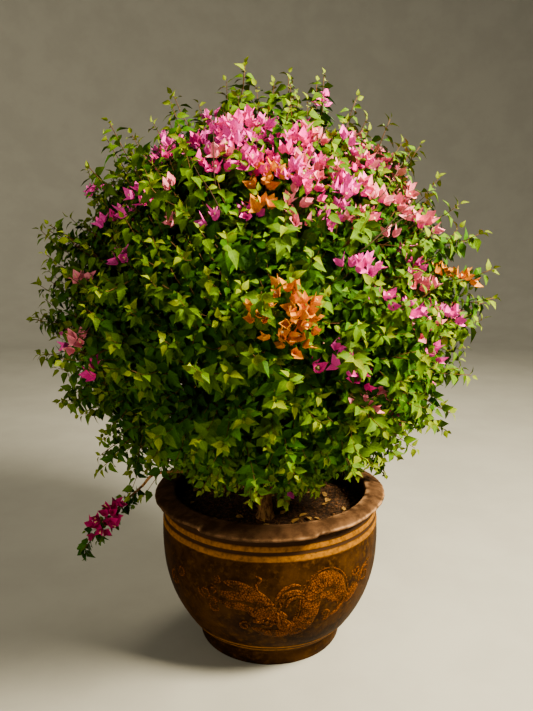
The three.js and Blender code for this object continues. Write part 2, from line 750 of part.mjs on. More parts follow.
const glaze = new THREE.MeshStandardMaterial({ color: 0x6b4523, roughness: 0.45, metalness: 0 });
const earth = new THREE.MeshStandardMaterial({ color: 0x2f2117, roughness: 0.95, metalness: 0 });
const bark = new THREE.MeshStandardMaterial({ color: 0x8a6a48, roughness: 0.9, metalness: 0 });
const leafGreen = new THREE.MeshStandardMaterial({ color: 0x5c8a24, roughness: 0.55, metalness: 0 });
const bloomPink = new THREE.MeshStandardMaterial({ color: 0xd65a9c, roughness: 0.6, metalness: 0 });

const bush = new THREE.Group();

function addNode(name, geometry, material) {
  const mesh = new THREE.Mesh(geometry, material);
  mesh.name = name;
  bush.add(mesh);
}

const pot = makePot();
addNode("pot", pot.geometry, glaze);
addNode("soil", makeSoil(pot.profile), earth);
makeLimbs().forEach(({ name, solid }) => addNode(name, geometryOf(solid), bark));
masses.forEach((mass, k) => {
  addNode(`foliage_${mass.name}`, makeMass(mass, SEED + k), isBlooming(mass) ? bloomPink : leafGreen);
});
addNode("foliage_trailing", makeTrailingSpray(SEED + masses.length), leafGreen);

export default bush;
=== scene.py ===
"""A bougainvillea bush growing in a wide glazed jar. Metres, +Z up, -Y is the front.

The limbs follow the part's own rule: a trunk forks into boughs, and each bough enters a mass of foliage.
Here each mass is carried on from its bough to branches, forks and leafy shoots.
"""

from functools import lru_cache
from math import pi, radians

import bpy
import numpy as np
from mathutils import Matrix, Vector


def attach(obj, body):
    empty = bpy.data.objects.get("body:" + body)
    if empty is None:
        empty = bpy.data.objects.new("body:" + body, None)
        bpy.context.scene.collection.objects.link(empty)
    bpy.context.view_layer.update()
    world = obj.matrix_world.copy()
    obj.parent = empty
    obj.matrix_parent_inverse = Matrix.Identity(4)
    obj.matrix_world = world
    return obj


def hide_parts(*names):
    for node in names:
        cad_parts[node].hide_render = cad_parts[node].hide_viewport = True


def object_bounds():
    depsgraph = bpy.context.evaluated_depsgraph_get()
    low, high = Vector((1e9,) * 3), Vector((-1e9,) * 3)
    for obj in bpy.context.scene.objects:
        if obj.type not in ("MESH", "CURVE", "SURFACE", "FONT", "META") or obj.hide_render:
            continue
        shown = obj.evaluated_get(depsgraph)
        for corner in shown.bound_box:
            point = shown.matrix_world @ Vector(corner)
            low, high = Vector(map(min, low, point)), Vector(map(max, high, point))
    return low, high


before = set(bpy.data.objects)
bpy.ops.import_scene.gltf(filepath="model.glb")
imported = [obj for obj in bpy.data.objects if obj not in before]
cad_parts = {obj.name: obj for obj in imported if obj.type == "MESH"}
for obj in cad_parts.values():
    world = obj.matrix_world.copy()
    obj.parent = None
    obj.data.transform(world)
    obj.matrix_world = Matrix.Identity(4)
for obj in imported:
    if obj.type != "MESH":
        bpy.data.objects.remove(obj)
CAD_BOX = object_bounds()

bl_info = {
    "name": "Bougainvillea bush in a jar",
    "version": (1, 0, 0),
    "blender": (4, 5, 0),
    "location": "3D View > Sidebar > Bougainvillea",
    "description": "Builds the jar, soil, limbs, foliage and blossom of a potted bougainvillea",
    "category": "Object",
}

BODY = "root"
UP = np.array([0.0, 0.0, 1.0])
GOLDEN_ANGLE = pi * (3 - 5**0.5)
MOST_TRIANGLES = 200000

# Jar profile
RIM_RADIUS, RIM_HEIGHT = 0.330, 0.446
RIM_EDGE_DROP, RIM_EDGE_THICKNESS = 0.013, 0.011
MOUTH_RADIUS, NECK_RADIUS = 0.271, 0.298
BELLY_RADIUS, BELLY_HEIGHT = 0.308, 0.285
FOOT_RADIUS, FOOT_BAND_HEIGHT = 0.204, 0.040
POT_FLOOR, POT_WALL = 0.022, 0.017
# The most that the hollow's radius may be
HOLLOW_RADIUS = MOUTH_RADIUS + 0.018
# The belly's line above its foot, as radius and height
BELLY_LINE = [(0.252, 0.096), (0.284, 0.160), (0.302, 0.225), (BELLY_RADIUS, BELLY_HEIGHT), (0.308, 0.345)]
BELLY_STEPS = 120
# The profile's rows that follow the wall above the foot, and how many rows lie outside the mouth
BELLY_ROWS, OUTSIDE_ROWS = slice(4, 126), 130
# Where the belly's unevenness ends and the rim's begins
RIM_START = 0.42
# Slow waves round the rim's edge, in and out and up and down
RIM_WAVE, RIM_SWAY = 0.004, 0.002
# Where the rim's outer edge is knocked in: azimuth, half width in degrees, depth
RIM_CHIPS = [(-62, 9, 0.006), (-128, 6, 0.006), (31, 12, 0.008)]
# The rim's outer edge in pieces: from each azimuth on, how far it stands out
RIM_PIECES = [(-180, 0.0), (-123, 0.005), (-69, -0.005), (35, 0.002), (152, 0.0)]
RIM_PIECE_BLEND = 1.6
# Light seams across the rim where its pieces step: cracks in the glaze with painted highlights along their
# edges; azimuth, half width in degrees
RIM_SEAM_HIGHLIGHTS = [(-123, 0.9), (35, 0.8), (152, 0.8)]
# Painted bands and thin raised rings: middle height and half height
AMBER_BANDS = [(0.3895, 0.0068), (0.3655, 0.0078)]
# Dark lines: the lower is dark glaze between the amber bands, the upper is painted shade under the lip's
# overhang
DARK_BAND_AND_LIP_SHADE = [(0.3775, 0.0048), (0.4030, 0.0060)]
FOOT_RINGS = [(0.076, 0.0028), (0.060, 0.0028)]

# Soil
SOIL_HEIGHT, SOIL_MOUND = 0.378, 0.008
MOUND_REACH = (0.105, 0.190)
SOIL_RINGS, SOIL_COLUMNS = 60, 180
# The gap between the soil and the wall, how deep its upright side is, and how far its underside stays
# above the pot's floor
SOIL_GAP, SOIL_SIDE, SOIL_BASE = 0.0004, 0.02, 0.02
# Crumbs: how many, the smallest one's radius, and how much larger the largest one is
CRUMBS, CRUMB_RADIUS, CRUMB_GROWTH = 1500, 0.0022, 0.0042
# Fallen leaves: how many, how high their feet lie, the shortest one's length, and how much the longest adds
FALLEN_LEAVES, FALLEN_LEAF_RISE = 46, 0.004
FALLEN_LEAF_LENGTH, FALLEN_LEAF_GROWTH = 0.018, 0.018

# Trunk and crown
TRUNK_FOOT = np.array([-0.013, -0.096, SOIL_HEIGHT + SOIL_MOUND])
TRUNK_FORK = np.array([-0.018, -0.052, 0.560])
TRUNK_RADIUS, ROOT_FLARE, ROOT_FLARE_HEIGHT = 0.018, 0.010, 0.018
# The open space before the trunk's foot: half its width, and its top
TRUNK_VIEW_HALF, TRUNK_VIEW_TOP = 0.045, 0.490
# The crown's underside over the mouth: its height at the axis, its rise outwards, the place aside where that
# is full and its share beside the trunk, how far the underside reaches from the axis and aside, and how far
# a leaf's tip may hang under it
MOUTH_VIEW_HEIGHT, MOUTH_VIEW_RISE, MOUTH_VIEW_HALF, MOUTH_VIEW_SHARE = 0.450, 0.44, 0.20, 0.45
MOUTH_VIEW_RADIUS, MOUTH_VIEW_WIDTH, MOUTH_VIEW_SLACK = 0.45, 0.330, 0.022
# How far the plant keeps from the jar and from the soil
JAR_ROOM, SOIL_ROOM = 0.006, 0.004
CROWN_CENTRE = np.array([-0.020, 0.0, 0.980])
CROWN_RADIUS = 0.532
# How far the crown swells downwards and to the left, slopes off at its shoulders, and how deep its lobes are
LOW_SWELL, LEFT_SWELL, SHOULDER_SLOPE, LOBE_DEPTH = 0.020, 0.008, 0.025, 0.009
# How far shoot tips keep from the sides of the part's box
BOX_ROOM = 0.014

# Foliage masses: ring, count, elevation, azimuth of the first one, heart as a share of the crown's reach
RINGS = [
    ("upper", 5, 44, -70, 0.66),
    ("middle", 7, 5, -90, 0.66),
    ("lower", 5, -32, -104, 0.66),
    ("skirt", 3, -66, -86, 0.76),
]
TOP_HEART = 0.66
# A mass's stem: its length, the most of a bough's way that it takes, and the steps that shorten it until its
# foot keeps room inside the mass's own space
STEM_LENGTH, STEM_SHARE, STEM_STEP, STEM_ROOM = 0.160, 0.5, 0.010, 0.012
BOUGH_TIP_RADIUS, LEADER_ROOT_RADIUS = 0.005, 0.015
BOUGH_SWEEP, BOUGH_TURN_IN, TAPER_POWER = 0.42, 0.25, 0.8
# How far up the trunk, or up an upper bough, each ring's boughs fork off, how steeply they rise, root radius
FORKS = {
    "upper": (0.96, 2.0, 0.012),
    "middle": (0.36, 1.0, 0.009),
    "lower": (0.85, 2.0, 0.009),
    "skirt": (0.5, 0.7, 0.009),
}
BRANCHES, SIDE_FORKS = 230, 1000

# Long shoots that stand out of the crown: azimuth, elevation, reach from its centre
LONG_SHOOTS = [
    (180, -44, 0.672), (178, -27, 0.664), (182, -14, 0.656), (179, -5, 0.648), (181, 18, 0.626),
    (180, 46, 0.616), (180, 85.5, 0.620), (0, 76, 0.600), (0, 60, 0.566), (0, 45, 0.572), (2, 16, 0.606),
    (0, -1, 0.628), (0, -21, 0.612), (1, -36, 0.668), (0, -50, 0.618), (-90, 8, 0.610), (-62, -22, 0.618),
    (-118, 30, 0.596), (92, 12, 0.622), (120, -30, 0.628), (105, 48, 0.604), (-112, 79, 0.615),
    (-36, 82, 0.600), (-28, 73, 0.612), (-20, 64, 0.590), (-18, 54, 0.585), (-17, 44, 0.588),
    (-23, 26, 0.590), (-22, 18, 0.620), (-18, 9, 0.622), (-16, 2, 0.624), (-20, -17, 0.606),
    (-24, -27, 0.604), (-157, 48, 0.618), (-152, 36, 0.590), (-168, 20, 0.606), (-150, 64, 0.590),
    (-163, -3, 0.620), (-160, -25, 0.612), (-70, 70, 0.585), (60, 72, 0.600), (140, 66, 0.600),
    (40, 34, 0.600), (70, -10, 0.620), (150, 10, 0.620),
]
LONG_SHOOT_LEAF_ROOM = 0.022
# Bare twigs across the blossom: azimuth and elevation of the foot and of the tip
BARE_TWIGS = [
    (-77, 39, -58, 56), (-60, 27, -38, 40), (-67, 16, -47, 28), (-62, 20, -44, 26),
    (-104, 35, -108, 50), (-101, 28, -112, 40), (60, 40, 48, 58), (130, 46, 120, 62),
]
BARE_TWIG_REACH = (0.985, 1.070)
BARE_TWIG_RADII = (0.0015, 0.0009)
# Limbs of the crown: root radius, tip radius, rings along each, sides
THICK_TWIGS = {
    "stems": (BOUGH_TIP_RADIUS, 0.0036, 6, 6),
    "branches": (0.0034, 0.0022, 8, 5),
    "forks": (0.0022, 0.0015, 6, 4),
    "long": (0.0020, 0.0010, 8, 4),
}
THIN_TWIGS = {
    "standing": (0.0015, 0.0008, 5, 3),
    "outer": (0.0013, 0.0008, 4, 3),
    "inner": (0.0013, 0.0008, 4, 3),
}

# The trailing bough and its spray
TRAILING_WAY = [(-0.110, -0.052, 0.468), (-0.220, -0.036, 0.492), (-0.322, -0.030, 0.486)]
TRAILING_START = np.array([-0.362, -0.038, 0.452])
TRAILING_TIP = np.array([-0.524, -0.070, 0.278])
TRAILING_ARCH, TRAILING_FORK_SHARE = 0.014, 0.6
TRAILING_RADII = (0.0065, 0.0038, 0.0012)
TRAILING_SIDE_SHOOTS = 15
TRAILING_BLOOMS = [0.44, 0.50, 0.58, 0.66, 0.74]

# Where the bush flowers: azimuth, elevation, half width in degrees, share of shoots in flower, colour
BLOOM_PATCHES = [
    (-82, 50, 19, 1.0, "pink"), (-102, 53, 14, 0.95, "pink"), (-74, 33, 10, 1.0, "pink"),
    (-52, 42, 16, 0.72, "pink"), (-54, 28, 12, 0.60, "pink_pale"), (-42, 25, 13, 0.50, "pink_pale"),
    (-42, 18, 8, 0.42, "pink_pale"), (-37, 12, 9, 0.28, "pink_pale"), (-40, 0, 7, 0.40, "pink_pale"),
    (-14, 44, 14, 0.5, "pink_pale"), (34, 54, 22, 0.62, "pink"), (90, 62, 24, 0.65, "pink"),
    (150, 60, 20, 0.5, "pink"), (60, 34, 16, 0.55, "pink_pale"), (110, 20, 10, 0.40, "pink"),
    (-91, 0.5, 4.2, 1.00, "orange"), (-83, 4.5, 4.2, 1.00, "orange"), (-83, -1.0, 4.4, 1.00, "orange"),
    (-87, 40, 3.4, 1.00, "orange"), (-88, 32, 2.6, 1.00, "orange"), (-18, 12, 6, 0.80, "orange"),
    (40, 5, 6, 0.80, "orange"),
]
# Single sprays of blossom seen in the photograph: azimuth, elevation in degrees
SINGLE_BLOOMS = [
    (-159, 57), (-133, 53), (-138, 48), (-136, 36), (-142, 30), (-121, 35), (-124, 31), (-115, 25),
    (-106, 27), (-111, 44), (-93, 29), (-146, 22), (-131, 15), (-149, 7), (-166, -9), (-143, -7),
    (-145, -17), (-65, 15), (-62, 12), (-58, 5), (-52, 0), (-44, -2), (-27, -4), (-70, -8), (-71, -11),
    (-74, -14), (-58, -25), (-51, -23),
]
# The share of shoots that flower anywhere, and that of a patch's standing shoots that keep their flowers
STRAY_BLOOM, STANDING_BLOOM = 0.008, 0.16
# Beyond this half width a patch's flowers stand in groups, as wide as the noise's cell, which begin and
# are full at these values of it
GROUPED_WIDTH, GROUP_CELL, GROUP_EDGES = 9, 0.062, (-0.40, -0.02)
# The most flowers on a shoot, and how many of its leaves they take the place of, from the tip back
FLOWERS = 5
LEAVES_LOST = {"outer": 5, "standing": 1}
# The shares of pink shoots with deep and with pale flowers, and of pale shoots with pink ones
DEEP_SHARE, PALE_SHARE, PINK_SHARE = 0.22, 0.22, 0.3
# How far a shoot's first flower and the others lean off its axis, how far they stand out from its tip, how
# much further the furthest does, and how far back along it they begin
FLOWER_LEANS = (0.10, 0.78)
FLOWER_REACH, FLOWER_GROWTH, FLOWER_BACK = 0.018, 0.012, 0.010
# Bracts: how far each opens from its flower's axis, and its width as a share of its length
BRACT_FLARE, BRACT_WIDTH = 0.60, 0.66
# Tube flowers: the share of flowers that have opened theirs, the least length, how much longer the longest
# is, the tube's radii from its foot up, and the star's at its points and between them
TUBE_SHARE, TUBE_LENGTH, TUBE_GROWTH = 0.3, 0.018, 0.004
TUBE_RADII, STAR_RADII = (0.0008, 0.0010, 0.0014), (0.0032, 0.0016)

# A blade's outline: shares along it, and the half width there as a share of the whole width
BLADE_STATIONS = [0.13, 0.43, 0.75]
BLADE_HALVES = [0.32, 0.48, 0.22]
BLADE_TRIANGLES, BLADE_POINTS = 12, 11
LEAF_STALK = 0.004
# How long the leaves at a shoot's tip are, from the tip back, as shares of a grown leaf
CROWN_SHRINK = (0.36, 0.54, 0.72, 0.88)
STANDING_SHRINK = (0.50, 0.60, 0.72, 0.80, 0.86, 0.90)
# How far leaves spread off their shoot: leaves counted from its tip, and their angles
LEAF_SPREADS = ([0, 1, 3], [0.4, 0.9, 1.3])
# Leaves in the crown and in the open: how long the young ones are, how far each is turned out of the common
# facing, how far grown ones hang, and how far they face level outwards at the crown's top
CROWN_HABIT = (CROWN_SHRINK, 0.32, 0.50, 0.0)
OPEN_HABIT = (STANDING_SHRINK, 0.62, 0.45, 0.9)
# Each kind of shoot's leaves: how many, how far apart, and their habit
LEAF_KINDS = {
    "outer": (10, 0.0105, CROWN_HABIT),
    "inner": (6, 0.016, CROWN_HABIT),
    "standing": (15, 0.0068, OPEN_HABIT),
    "long": (28, 0.0065, OPEN_HABIT),
}
BRACT_COLOURS = ["pink", "pink_deep", "pink_pale", "orange", "magenta"]
LEAF_COLOURS = ["leaf_deep", "leaf_mid", "leaf_fresh", "leaf_young"]
# The shares of shoots with deep leaves, inside and at the surface, and of the trailing spray's leaves that
# are deep; the shares of shoots with leaves no fresher than grown, at the surface and in the open; and the
# share of surface shoots whose tips aren't young
DEEP_INSIDE, DEEP_OUTSIDE, DEEP_TRAILING = 0.85, 0.44, 0.55
GROWN_OUTSIDE, GROWN_IN_OPEN, FRESH_TIPS = 0.90, 0.6, 0.90
# How many of a shoot's leaves from its tip back are young or fresh: at the surface, then in the open
TIP_LEAVES, YOUNG_IN_OPEN, FRESH_IN_OPEN = 2, 3, 7
# How far blades fold up along the rib and droop: the crown's leaves, the trailing spray's, and bracts
LEAF_BEND, TRAILING_BEND, BRACT_BEND = (0.34, 0.46), (0.40, 0.30), (0.40, -0.10)
# Leaves' and bracts' looks: the veins' brightness beside the blade's, the roughness, the mottle's contrast
LEAF_LOOK, BRACT_LOOK = (1.45, 0.5, 0.2), (0.72, 0.55, 0.12)
# The rings of masses in each piece of leaves
LEAF_PIECES = {"upper": ["top", "upper"], "middle": ["middle"], "lower": ["lower"], "skirt": ["skirt"]}

# Camera: the photograph's view
CAMERA_PLACE, CAMERA_PITCH = (-0.010, -1.909, 1.205), 11.37
CAMERA_FOCAL, CAMERA_SENSOR = 35.44, 36.0
LAMP_COLOUR = (1.0, 0.86, 0.54)
# Lamps: place, the point that each faces, size and power
LAMPS = {
    "key": ((1.9, -0.9, 2.6), (0, 0, 1.05), 0.9, 520),
    "fill": ((-2.3, -2.5, 1.9), (0, 0, 0.9), 2.4, 37),
    "back": ((1.2, 2.6, 2.8), (0, 0, 0.9), 1.6, 80),
}
SKY_COLOUR, SKY_STRENGTH = (0.84, 0.80, 0.62), 0.24
# The pale floor: a disc that curves up all round into a wall
FLOOR_RADIUS, FLOOR_CURVE, WALL_HEIGHT = 5.0, 3.0, 5.5
FLOOR_STEPS, FLOOR_COLUMNS = 24, 96

# The relief, as arcs from the front round a circle of this radius, and heights: the dragon's line, and its
# half width at shares of it
RELIEF_CIRCLE = 0.3
DRAGON_STEPS = 110
DRAGON_LINE = [
    (0.020, 0.200), (0.045, 0.166), (0.082, 0.160), (0.102, 0.200), (0.110, 0.262), (0.140, 0.296),
    (0.178, 0.278), (0.198, 0.232), (0.226, 0.214), (0.258, 0.240), (0.282, 0.282), (0.320, 0.292),
]
DRAGON_WIDTHS = [
    (0, 0.013), (0.12, 0.025), (0.3, 0.027), (0.45, 0.025), (0.62, 0.020), (0.8, 0.013), (1, 0.001),
]
# Curls of mane and cloud: middle, radius at the start and at the end, turns, angle at the start
DRAGON_CURLS = [
    ((0.000, 0.212), 0.020, 0.004, 1.2, 0.4), ((-0.022, 0.232), 0.017, 0.003, 1.3, 1.4),
    ((0.016, 0.238), 0.015, 0.003, 1.2, 2.6), ((-0.006, 0.184), 0.016, 0.003, 1.2, 3.8),
    ((0.290, 0.258), 0.026, 0.004, 1.6, 0.2), ((0.248, 0.286), 0.018, 0.003, 1.4, 2.0),
    ((-0.150, 0.212), 0.020, 0.003, 1.4, 1.0), ((-0.176, 0.250), 0.022, 0.004, 1.5, 2.2),
    ((-0.070, 0.168), 0.017, 0.003, 1.3, 0.0), ((0.150, 0.190), 0.016, 0.003, 1.4, 4.0),
    ((-0.300, 0.240), 0.024, 0.004, 1.6, 0.9), ((-0.262, 0.280), 0.018, 0.003, 1.4, 2.9),
]
# Head, jaws, legs, mane, horns and clouds: the way of each stroke, and its half width
DRAGON_STROKES = [
    ([(0.040, 0.196), (0.000, 0.218), (-0.036, 0.216), (-0.062, 0.226)], 0.020),
    ([(0.030, 0.184), (-0.010, 0.192), (-0.050, 0.186)], 0.013),
    ([(0.004, 0.236), (-0.030, 0.262), (-0.078, 0.288), (-0.124, 0.296)], 0.017),
    ([(-0.020, 0.250), (-0.066, 0.262), (-0.112, 0.258), (-0.134, 0.266)], 0.014),
    ([(-0.030, 0.216), (-0.074, 0.230), (-0.112, 0.230), (-0.138, 0.236)], 0.012),
    ([(0.080, 0.160), (0.030, 0.143), (-0.014, 0.150), (-0.052, 0.164)], 0.014),
    ([(0.112, 0.236), (0.146, 0.250), (0.168, 0.230), (0.184, 0.226)], 0.011),
    ([(0.038, 0.232), (0.048, 0.252), (0.070, 0.258), (0.090, 0.250)], 0.005),
    ([(0.028, 0.238), (0.038, 0.262), (0.062, 0.268), (0.086, 0.262)], 0.005),
    ([(0.020, 0.246), (0.036, 0.268), (0.062, 0.276), (0.080, 0.270)], 0.006),
    ([(0.010, 0.250), (0.030, 0.282), (0.058, 0.294), (0.076, 0.290)], 0.005),
    ([(0.206, 0.206), (0.190, 0.186), (0.164, 0.176)], 0.008),
    ([(-0.020, 0.262), (-0.036, 0.292), (-0.024, 0.312), (-0.038, 0.322)], 0.004),
]
# Paws: middle, and the angle in degrees that their claws spread about
DRAGON_PAWS = [
    ((-0.136, 0.270), 190), ((-0.128, 0.292), 150), ((-0.140, 0.238), 200), ((0.182, 0.226), 330),
    ((0.162, 0.176), 215),
]
# Half widths of the narrow strips, and the lengths of a spine on the back and of a claw
FIN_HALF, SPINE_HALF, RIB_HALF, CURL_HALF, CLAW_HALF = 0.0022, 0.0024, 0.0014, 0.0042, 0.0040
SPINE_LENGTH, CLAW_LENGTH = 0.009, 0.026
# Studs on the neck: how many, their middle, how widely they are strewn, half length, half width
STUDS, STUD_MIDDLE, STUD_SPREAD = 26, np.array([0.018, 0.196]), [0.020, 0.014]
STUD_LENGTH, STUD_HALF = 0.0032, 0.0034
# Shares along a short strip, and its width there when it runs to a point
SHORT = np.linspace(0, 1, 7)
POINTED = np.sqrt(1 - SHORT) + 0.02

# Kinds of socket by the kind of value, or by another socket's type
SOCKETS = {float: "NodeSocketFloat", tuple: "NodeSocketColor"}
SOCKETS.update({"VALUE": "NodeSocketFloat", "RGBA": "NodeSocketColor", "VECTOR": "NodeSocketVector"})
COLOUR_AND_MASK = {"Color": "NodeSocketColor", "Mask": "NodeSocketFloat"}


def colour(red, green, blue):
    """A screen colour from 0 to 255 as the linear one that a shader takes: the power 2.2 of each share."""
    return tuple((value / 255) ** 2.2 for value in (red, green, blue))


def tint(name, description, *rgb):
    """One plain colour that a user may change."""
    return bpy.props.FloatVectorProperty(
        name=name, description=description, default=colour(*rgb), size=3, min=0, max=1, subtype="COLOR"
    )


def distance(name, description, default):
    """One length that a user may change."""
    return bpy.props.FloatProperty(name=name, description=description, default=default, min=0, unit="LENGTH")


def whole(name, description, default, low=1):
    """One whole number that a user may change."""
    return bpy.props.IntProperty(name=name, description=description, default=default, min=low)


class JarSettings(bpy.types.PropertyGroup):
    """Sizes and colours of the glazed jar and its soil."""

    columns: whole("Columns", "Faces round the jar", 360, 36)
    unevenness: distance("Unevenness", "How far the hand-thrown wall strays from a true round", 0.0012)
    ring_height: distance("Ring height", "How far the bands and rings stand out of the wall", 0.0016)
    relief: distance("Relief", "How far the dragon stands out of the wall", 0.0034)
    brown: tint("Brown glaze", "The jar's dark glaze", 59, 38, 15)
    umber: tint("Umber glaze", "Darker clouds in the glaze", 32, 20, 8)
    amber: tint("Amber glaze", "The bands", 130, 84, 14)
    rust: tint("Rust glaze", "The worn relief", 106, 60, 10)
    lip: tint("Lip", "The matt, weathered lip", 76, 54, 38)
    # The light colour of the lip's edges: rubbed wear, and painted highlights along the edges and on the
    # right side
    lip_worn_and_highlit: tint("Worn lip", "The lip's rubbed edges", 174, 130, 92)
    soil: tint("Soil", "Damp potting soil", 40, 27, 18)
    crumb: tint("Crumbs", "Drier crumbs of soil", 92, 62, 38)


class PlantSettings(bpy.types.PropertyGroup):
    """Sizes and colours of the limbs, leaves and blossom."""

    leaf_length: distance("Leaf length", "Length of a grown leaf", 0.0335)
    leaf_width: bpy.props.FloatProperty(
        name="Leaf width", description="Width as a share of the length", default=0.72, min=0.3, max=1
    )
    bract_length: distance("Bract length", "Length of a coloured bract", 0.0315)
    outer_shoots: whole("Outer shoots", "Leafy shoots at the crown's surface", 2800)
    inner_shoots: whole("Inner shoots", "Leafy shoots in the crown's depth", 1900)
    standing_shoots: whole("Standing shoots", "Shoots that stand out of the crown", 560)
    bark_relief: distance("Bark relief", "Depth of the bark's ridges", 0.0016)
    bark: tint("Bark", "Grey-brown bark", 184, 132, 80)
    bark_crack: tint("Bark cracks", "The bark's furrows", 84, 58, 36)
    twig: tint("Twigs", "Young reddish-tan twigs", 80, 54, 26)
    bare_twig: tint("Bare twigs", "Dead, dark twigs", 52, 36, 24)
    leaf_deep: tint("Deep leaves", "Leaves inside the crown", 34, 66, 0)
    leaf_mid: tint("Grown leaves", "Leaves at the surface", 49, 85, 0)
    leaf_fresh: tint("Fresh leaves", "Lighter leaves", 70, 98, 0)
    leaf_young: tint("Young leaves", "Leaves at the shoots' tips", 98, 114, 0)
    leaf_dry: tint("Dry leaves", "Fallen leaves", 176, 132, 60)
    pink: tint("Pink", "Most bracts", 255, 80, 206)
    pink_deep: tint("Deep pink", "The stronger bracts", 244, 48, 178)
    pink_pale: tint("Pale pink", "The paler bracts", 255, 140, 172)
    orange: tint("Orange", "The orange bracts", 216, 138, 0)
    magenta: tint("Magenta", "Bracts of the trailing spray", 178, 24, 108)
    cream: tint("Cream", "The small tube flowers", 226, 204, 150)


def unit(vectors):
    """Each vector divided by its length."""
    return vectors / np.maximum(np.linalg.norm(vectors, axis=-1, keepdims=True), 1e-12)


def round_axis(turn, radius, height):
    """Points at angles round the upright axis, from +X towards +Y, at radii and heights."""
    x, y, z = np.broadcast_arrays(radius * np.cos(turn), radius * np.sin(turn), height)
    return np.stack([x, y, z], axis=-1)


def direction(azimuth, elevation):
    """The unit vector at an azimuth from +X towards +Y and an elevation, both in degrees."""
    rise = np.radians(elevation)
    return round_axis(np.radians(azimuth), np.cos(rise), np.sin(rise))


def square_to(ways):
    """A unit vector square to each one: its cross product with up, or with +X where it points nearly up."""
    ways = np.asarray(ways, float)
    helper = np.where(np.abs(ways[..., 2:]) < 0.9, UP, np.array([1.0, 0.0, 0.0]))
    return unit(np.cross(ways, helper))


def leaning(axis, lean, turn):
    """Each axis tipped by an angle towards a turn round it:
    axis times cos lean, plus side times sin lean cos turn, plus other side times sin lean sin turn."""
    side = square_to(axis)
    other = np.cross(axis, side)
    lean, turn = np.asarray(lean)[..., None], np.asarray(turn)[..., None]
    return axis * np.cos(lean) + np.sin(lean) * (side * np.cos(turn) + other * np.sin(turn))


def smoothstep(value, low, high):
    """0 below low, 1 above high, and 3t squared less 2t cubed between."""
    t = np.clip((value - low) / (high - low), 0, 1)
    return t * t * (3 - 2 * t)


def value_noise(points, cell, seed):
    """Smooth noise from -1 to 1: a number for each corner of a grid of cells, from a sine of its place,
    blended over each cell by smoothstep in x, y and z."""
    scaled = np.asarray(points) / cell + 1000.0
    low = np.floor(scaled)
    part = scaled - low
    part = part * part * (3 - 2 * part)
    total = np.zeros(scaled.shape[:-1])
    for corner in np.ndindex(2, 2, 2):
        at = low + np.array(corner)
        mixed = np.sin(at @ np.array([12.9898, 78.233, 37.719]) + seed * 4.1414) * 43758.5453
        weight = np.prod(np.where(np.array(corner) == 1, part, 1 - part), axis=-1)
        total += weight * (2 * (mixed - np.floor(mixed)) - 1)
    return total


def bezier(controls, t):
    """Cubic curves: controls (..., 4, 3) and shares t give points (..., len(t), 3)."""
    t = np.asarray(t, float)[:, None]
    weights = [(1 - t) ** 3, 3 * t * (1 - t) ** 2, 3 * t * t * (1 - t), t**3]
    return sum(w * controls[..., i, None, :] for i, w in enumerate(weights))


def through_points(points, t):
    """A Catmull-Rom curve through points, at shares t of its spans: each span is the cubic whose slope at
    a point is half the step between its two neighbours."""
    points = np.asarray(points, float)
    padded = np.vstack([2 * points[0] - points[1], points, 2 * points[-1] - points[-2]])
    along = np.clip(np.asarray(t, float), 0, 1) * (len(points) - 1)
    span = np.minimum(along.astype(int), len(points) - 2)
    u = (along - span)[:, None]
    before, start, end, after = (padded[span + k] for k in range(4))
    curve = (3 * start - before - 3 * end + after) * u**3
    curve += (2 * before - 5 * start + 4 * end - after) * u**2
    return 0.5 * (curve + (end - before) * u + 2 * start)


def tubes(centres, radii, sides, bumps=None):
    """Closed round limbs along centre lines. centres is (limbs, rings, 3) and radii (limbs, rings). Each
    ring is a circle square to its line, whose first side is the last ring's side made square again."""
    limbs, rings = centres.shape[:2]
    tangents = unit(np.gradient(centres, axis=1))
    side = square_to(tangents[:, 0])
    angles = np.arange(sides) * 2 * pi / sides
    points = np.empty((limbs, rings, sides, 3))
    for ring in range(rings):
        tangent = tangents[:, ring]
        side = unit(side - tangent * np.sum(side * tangent, axis=1, keepdims=True))
        other = np.cross(tangent, side)
        out = side[:, None] * np.cos(angles)[:, None] + other[:, None] * np.sin(angles)[:, None]
        points[:, ring] = centres[:, ring, None] + out * radii[:, ring, None, None]
        if bumps is not None:
            points[:, ring] += out * bumps(points[:, ring])[..., None]
    return points.reshape(-1, 3), tube_faces(limbs, rings, sides)


def copies(triangles, count, points):
    """A shape's triangles once more for each copy of it, whose points follow those of the copy before."""
    return (np.array(triangles) + (np.arange(count) * points)[:, None, None]).reshape(-1, 3)


def wall_faces(rings, sides):
    """Two triangles for each patch between closed rings of points that stand one above the other."""
    ring = np.arange(rings - 1)[:, None] * sides
    step = np.arange(sides)
    low, after = ring + step, ring + (step + 1) % sides
    faces = np.stack([low, after, after + sides, low, after + sides, low + sides], axis=-1)
    return faces.reshape(-1, 3)


def tube_faces(limbs, rings, sides):
    """Triangles of closed limbs: the wall between their rings, and a fan over each end."""
    fan = np.arange(1, sides - 1)
    foot = np.stack([0 * fan, fan + 1, fan], axis=-1)
    tip = np.stack([0 * fan, fan, fan + 1], axis=-1) + (rings - 1) * sides
    return copies(np.vstack([wall_faces(rings, sides), foot, tip]), limbs, rings * sides)


def taper(root, tip, t):
    """A radius that falls from root to tip by a power of the share along the limb."""
    t = np.asarray(t) ** TAPER_POWER
    return np.asarray(root)[..., None] * (1 - t) + np.asarray(tip)[..., None] * t


def join(parts):
    """Several lists of points and triangles as one."""
    shifts = np.cumsum([0] + [len(points) for points, _ in parts[:-1]])
    points = np.vstack([points for points, _ in parts])
    return points, np.vstack([triangles + shift for (_, triangles), shift in zip(parts, shifts)])


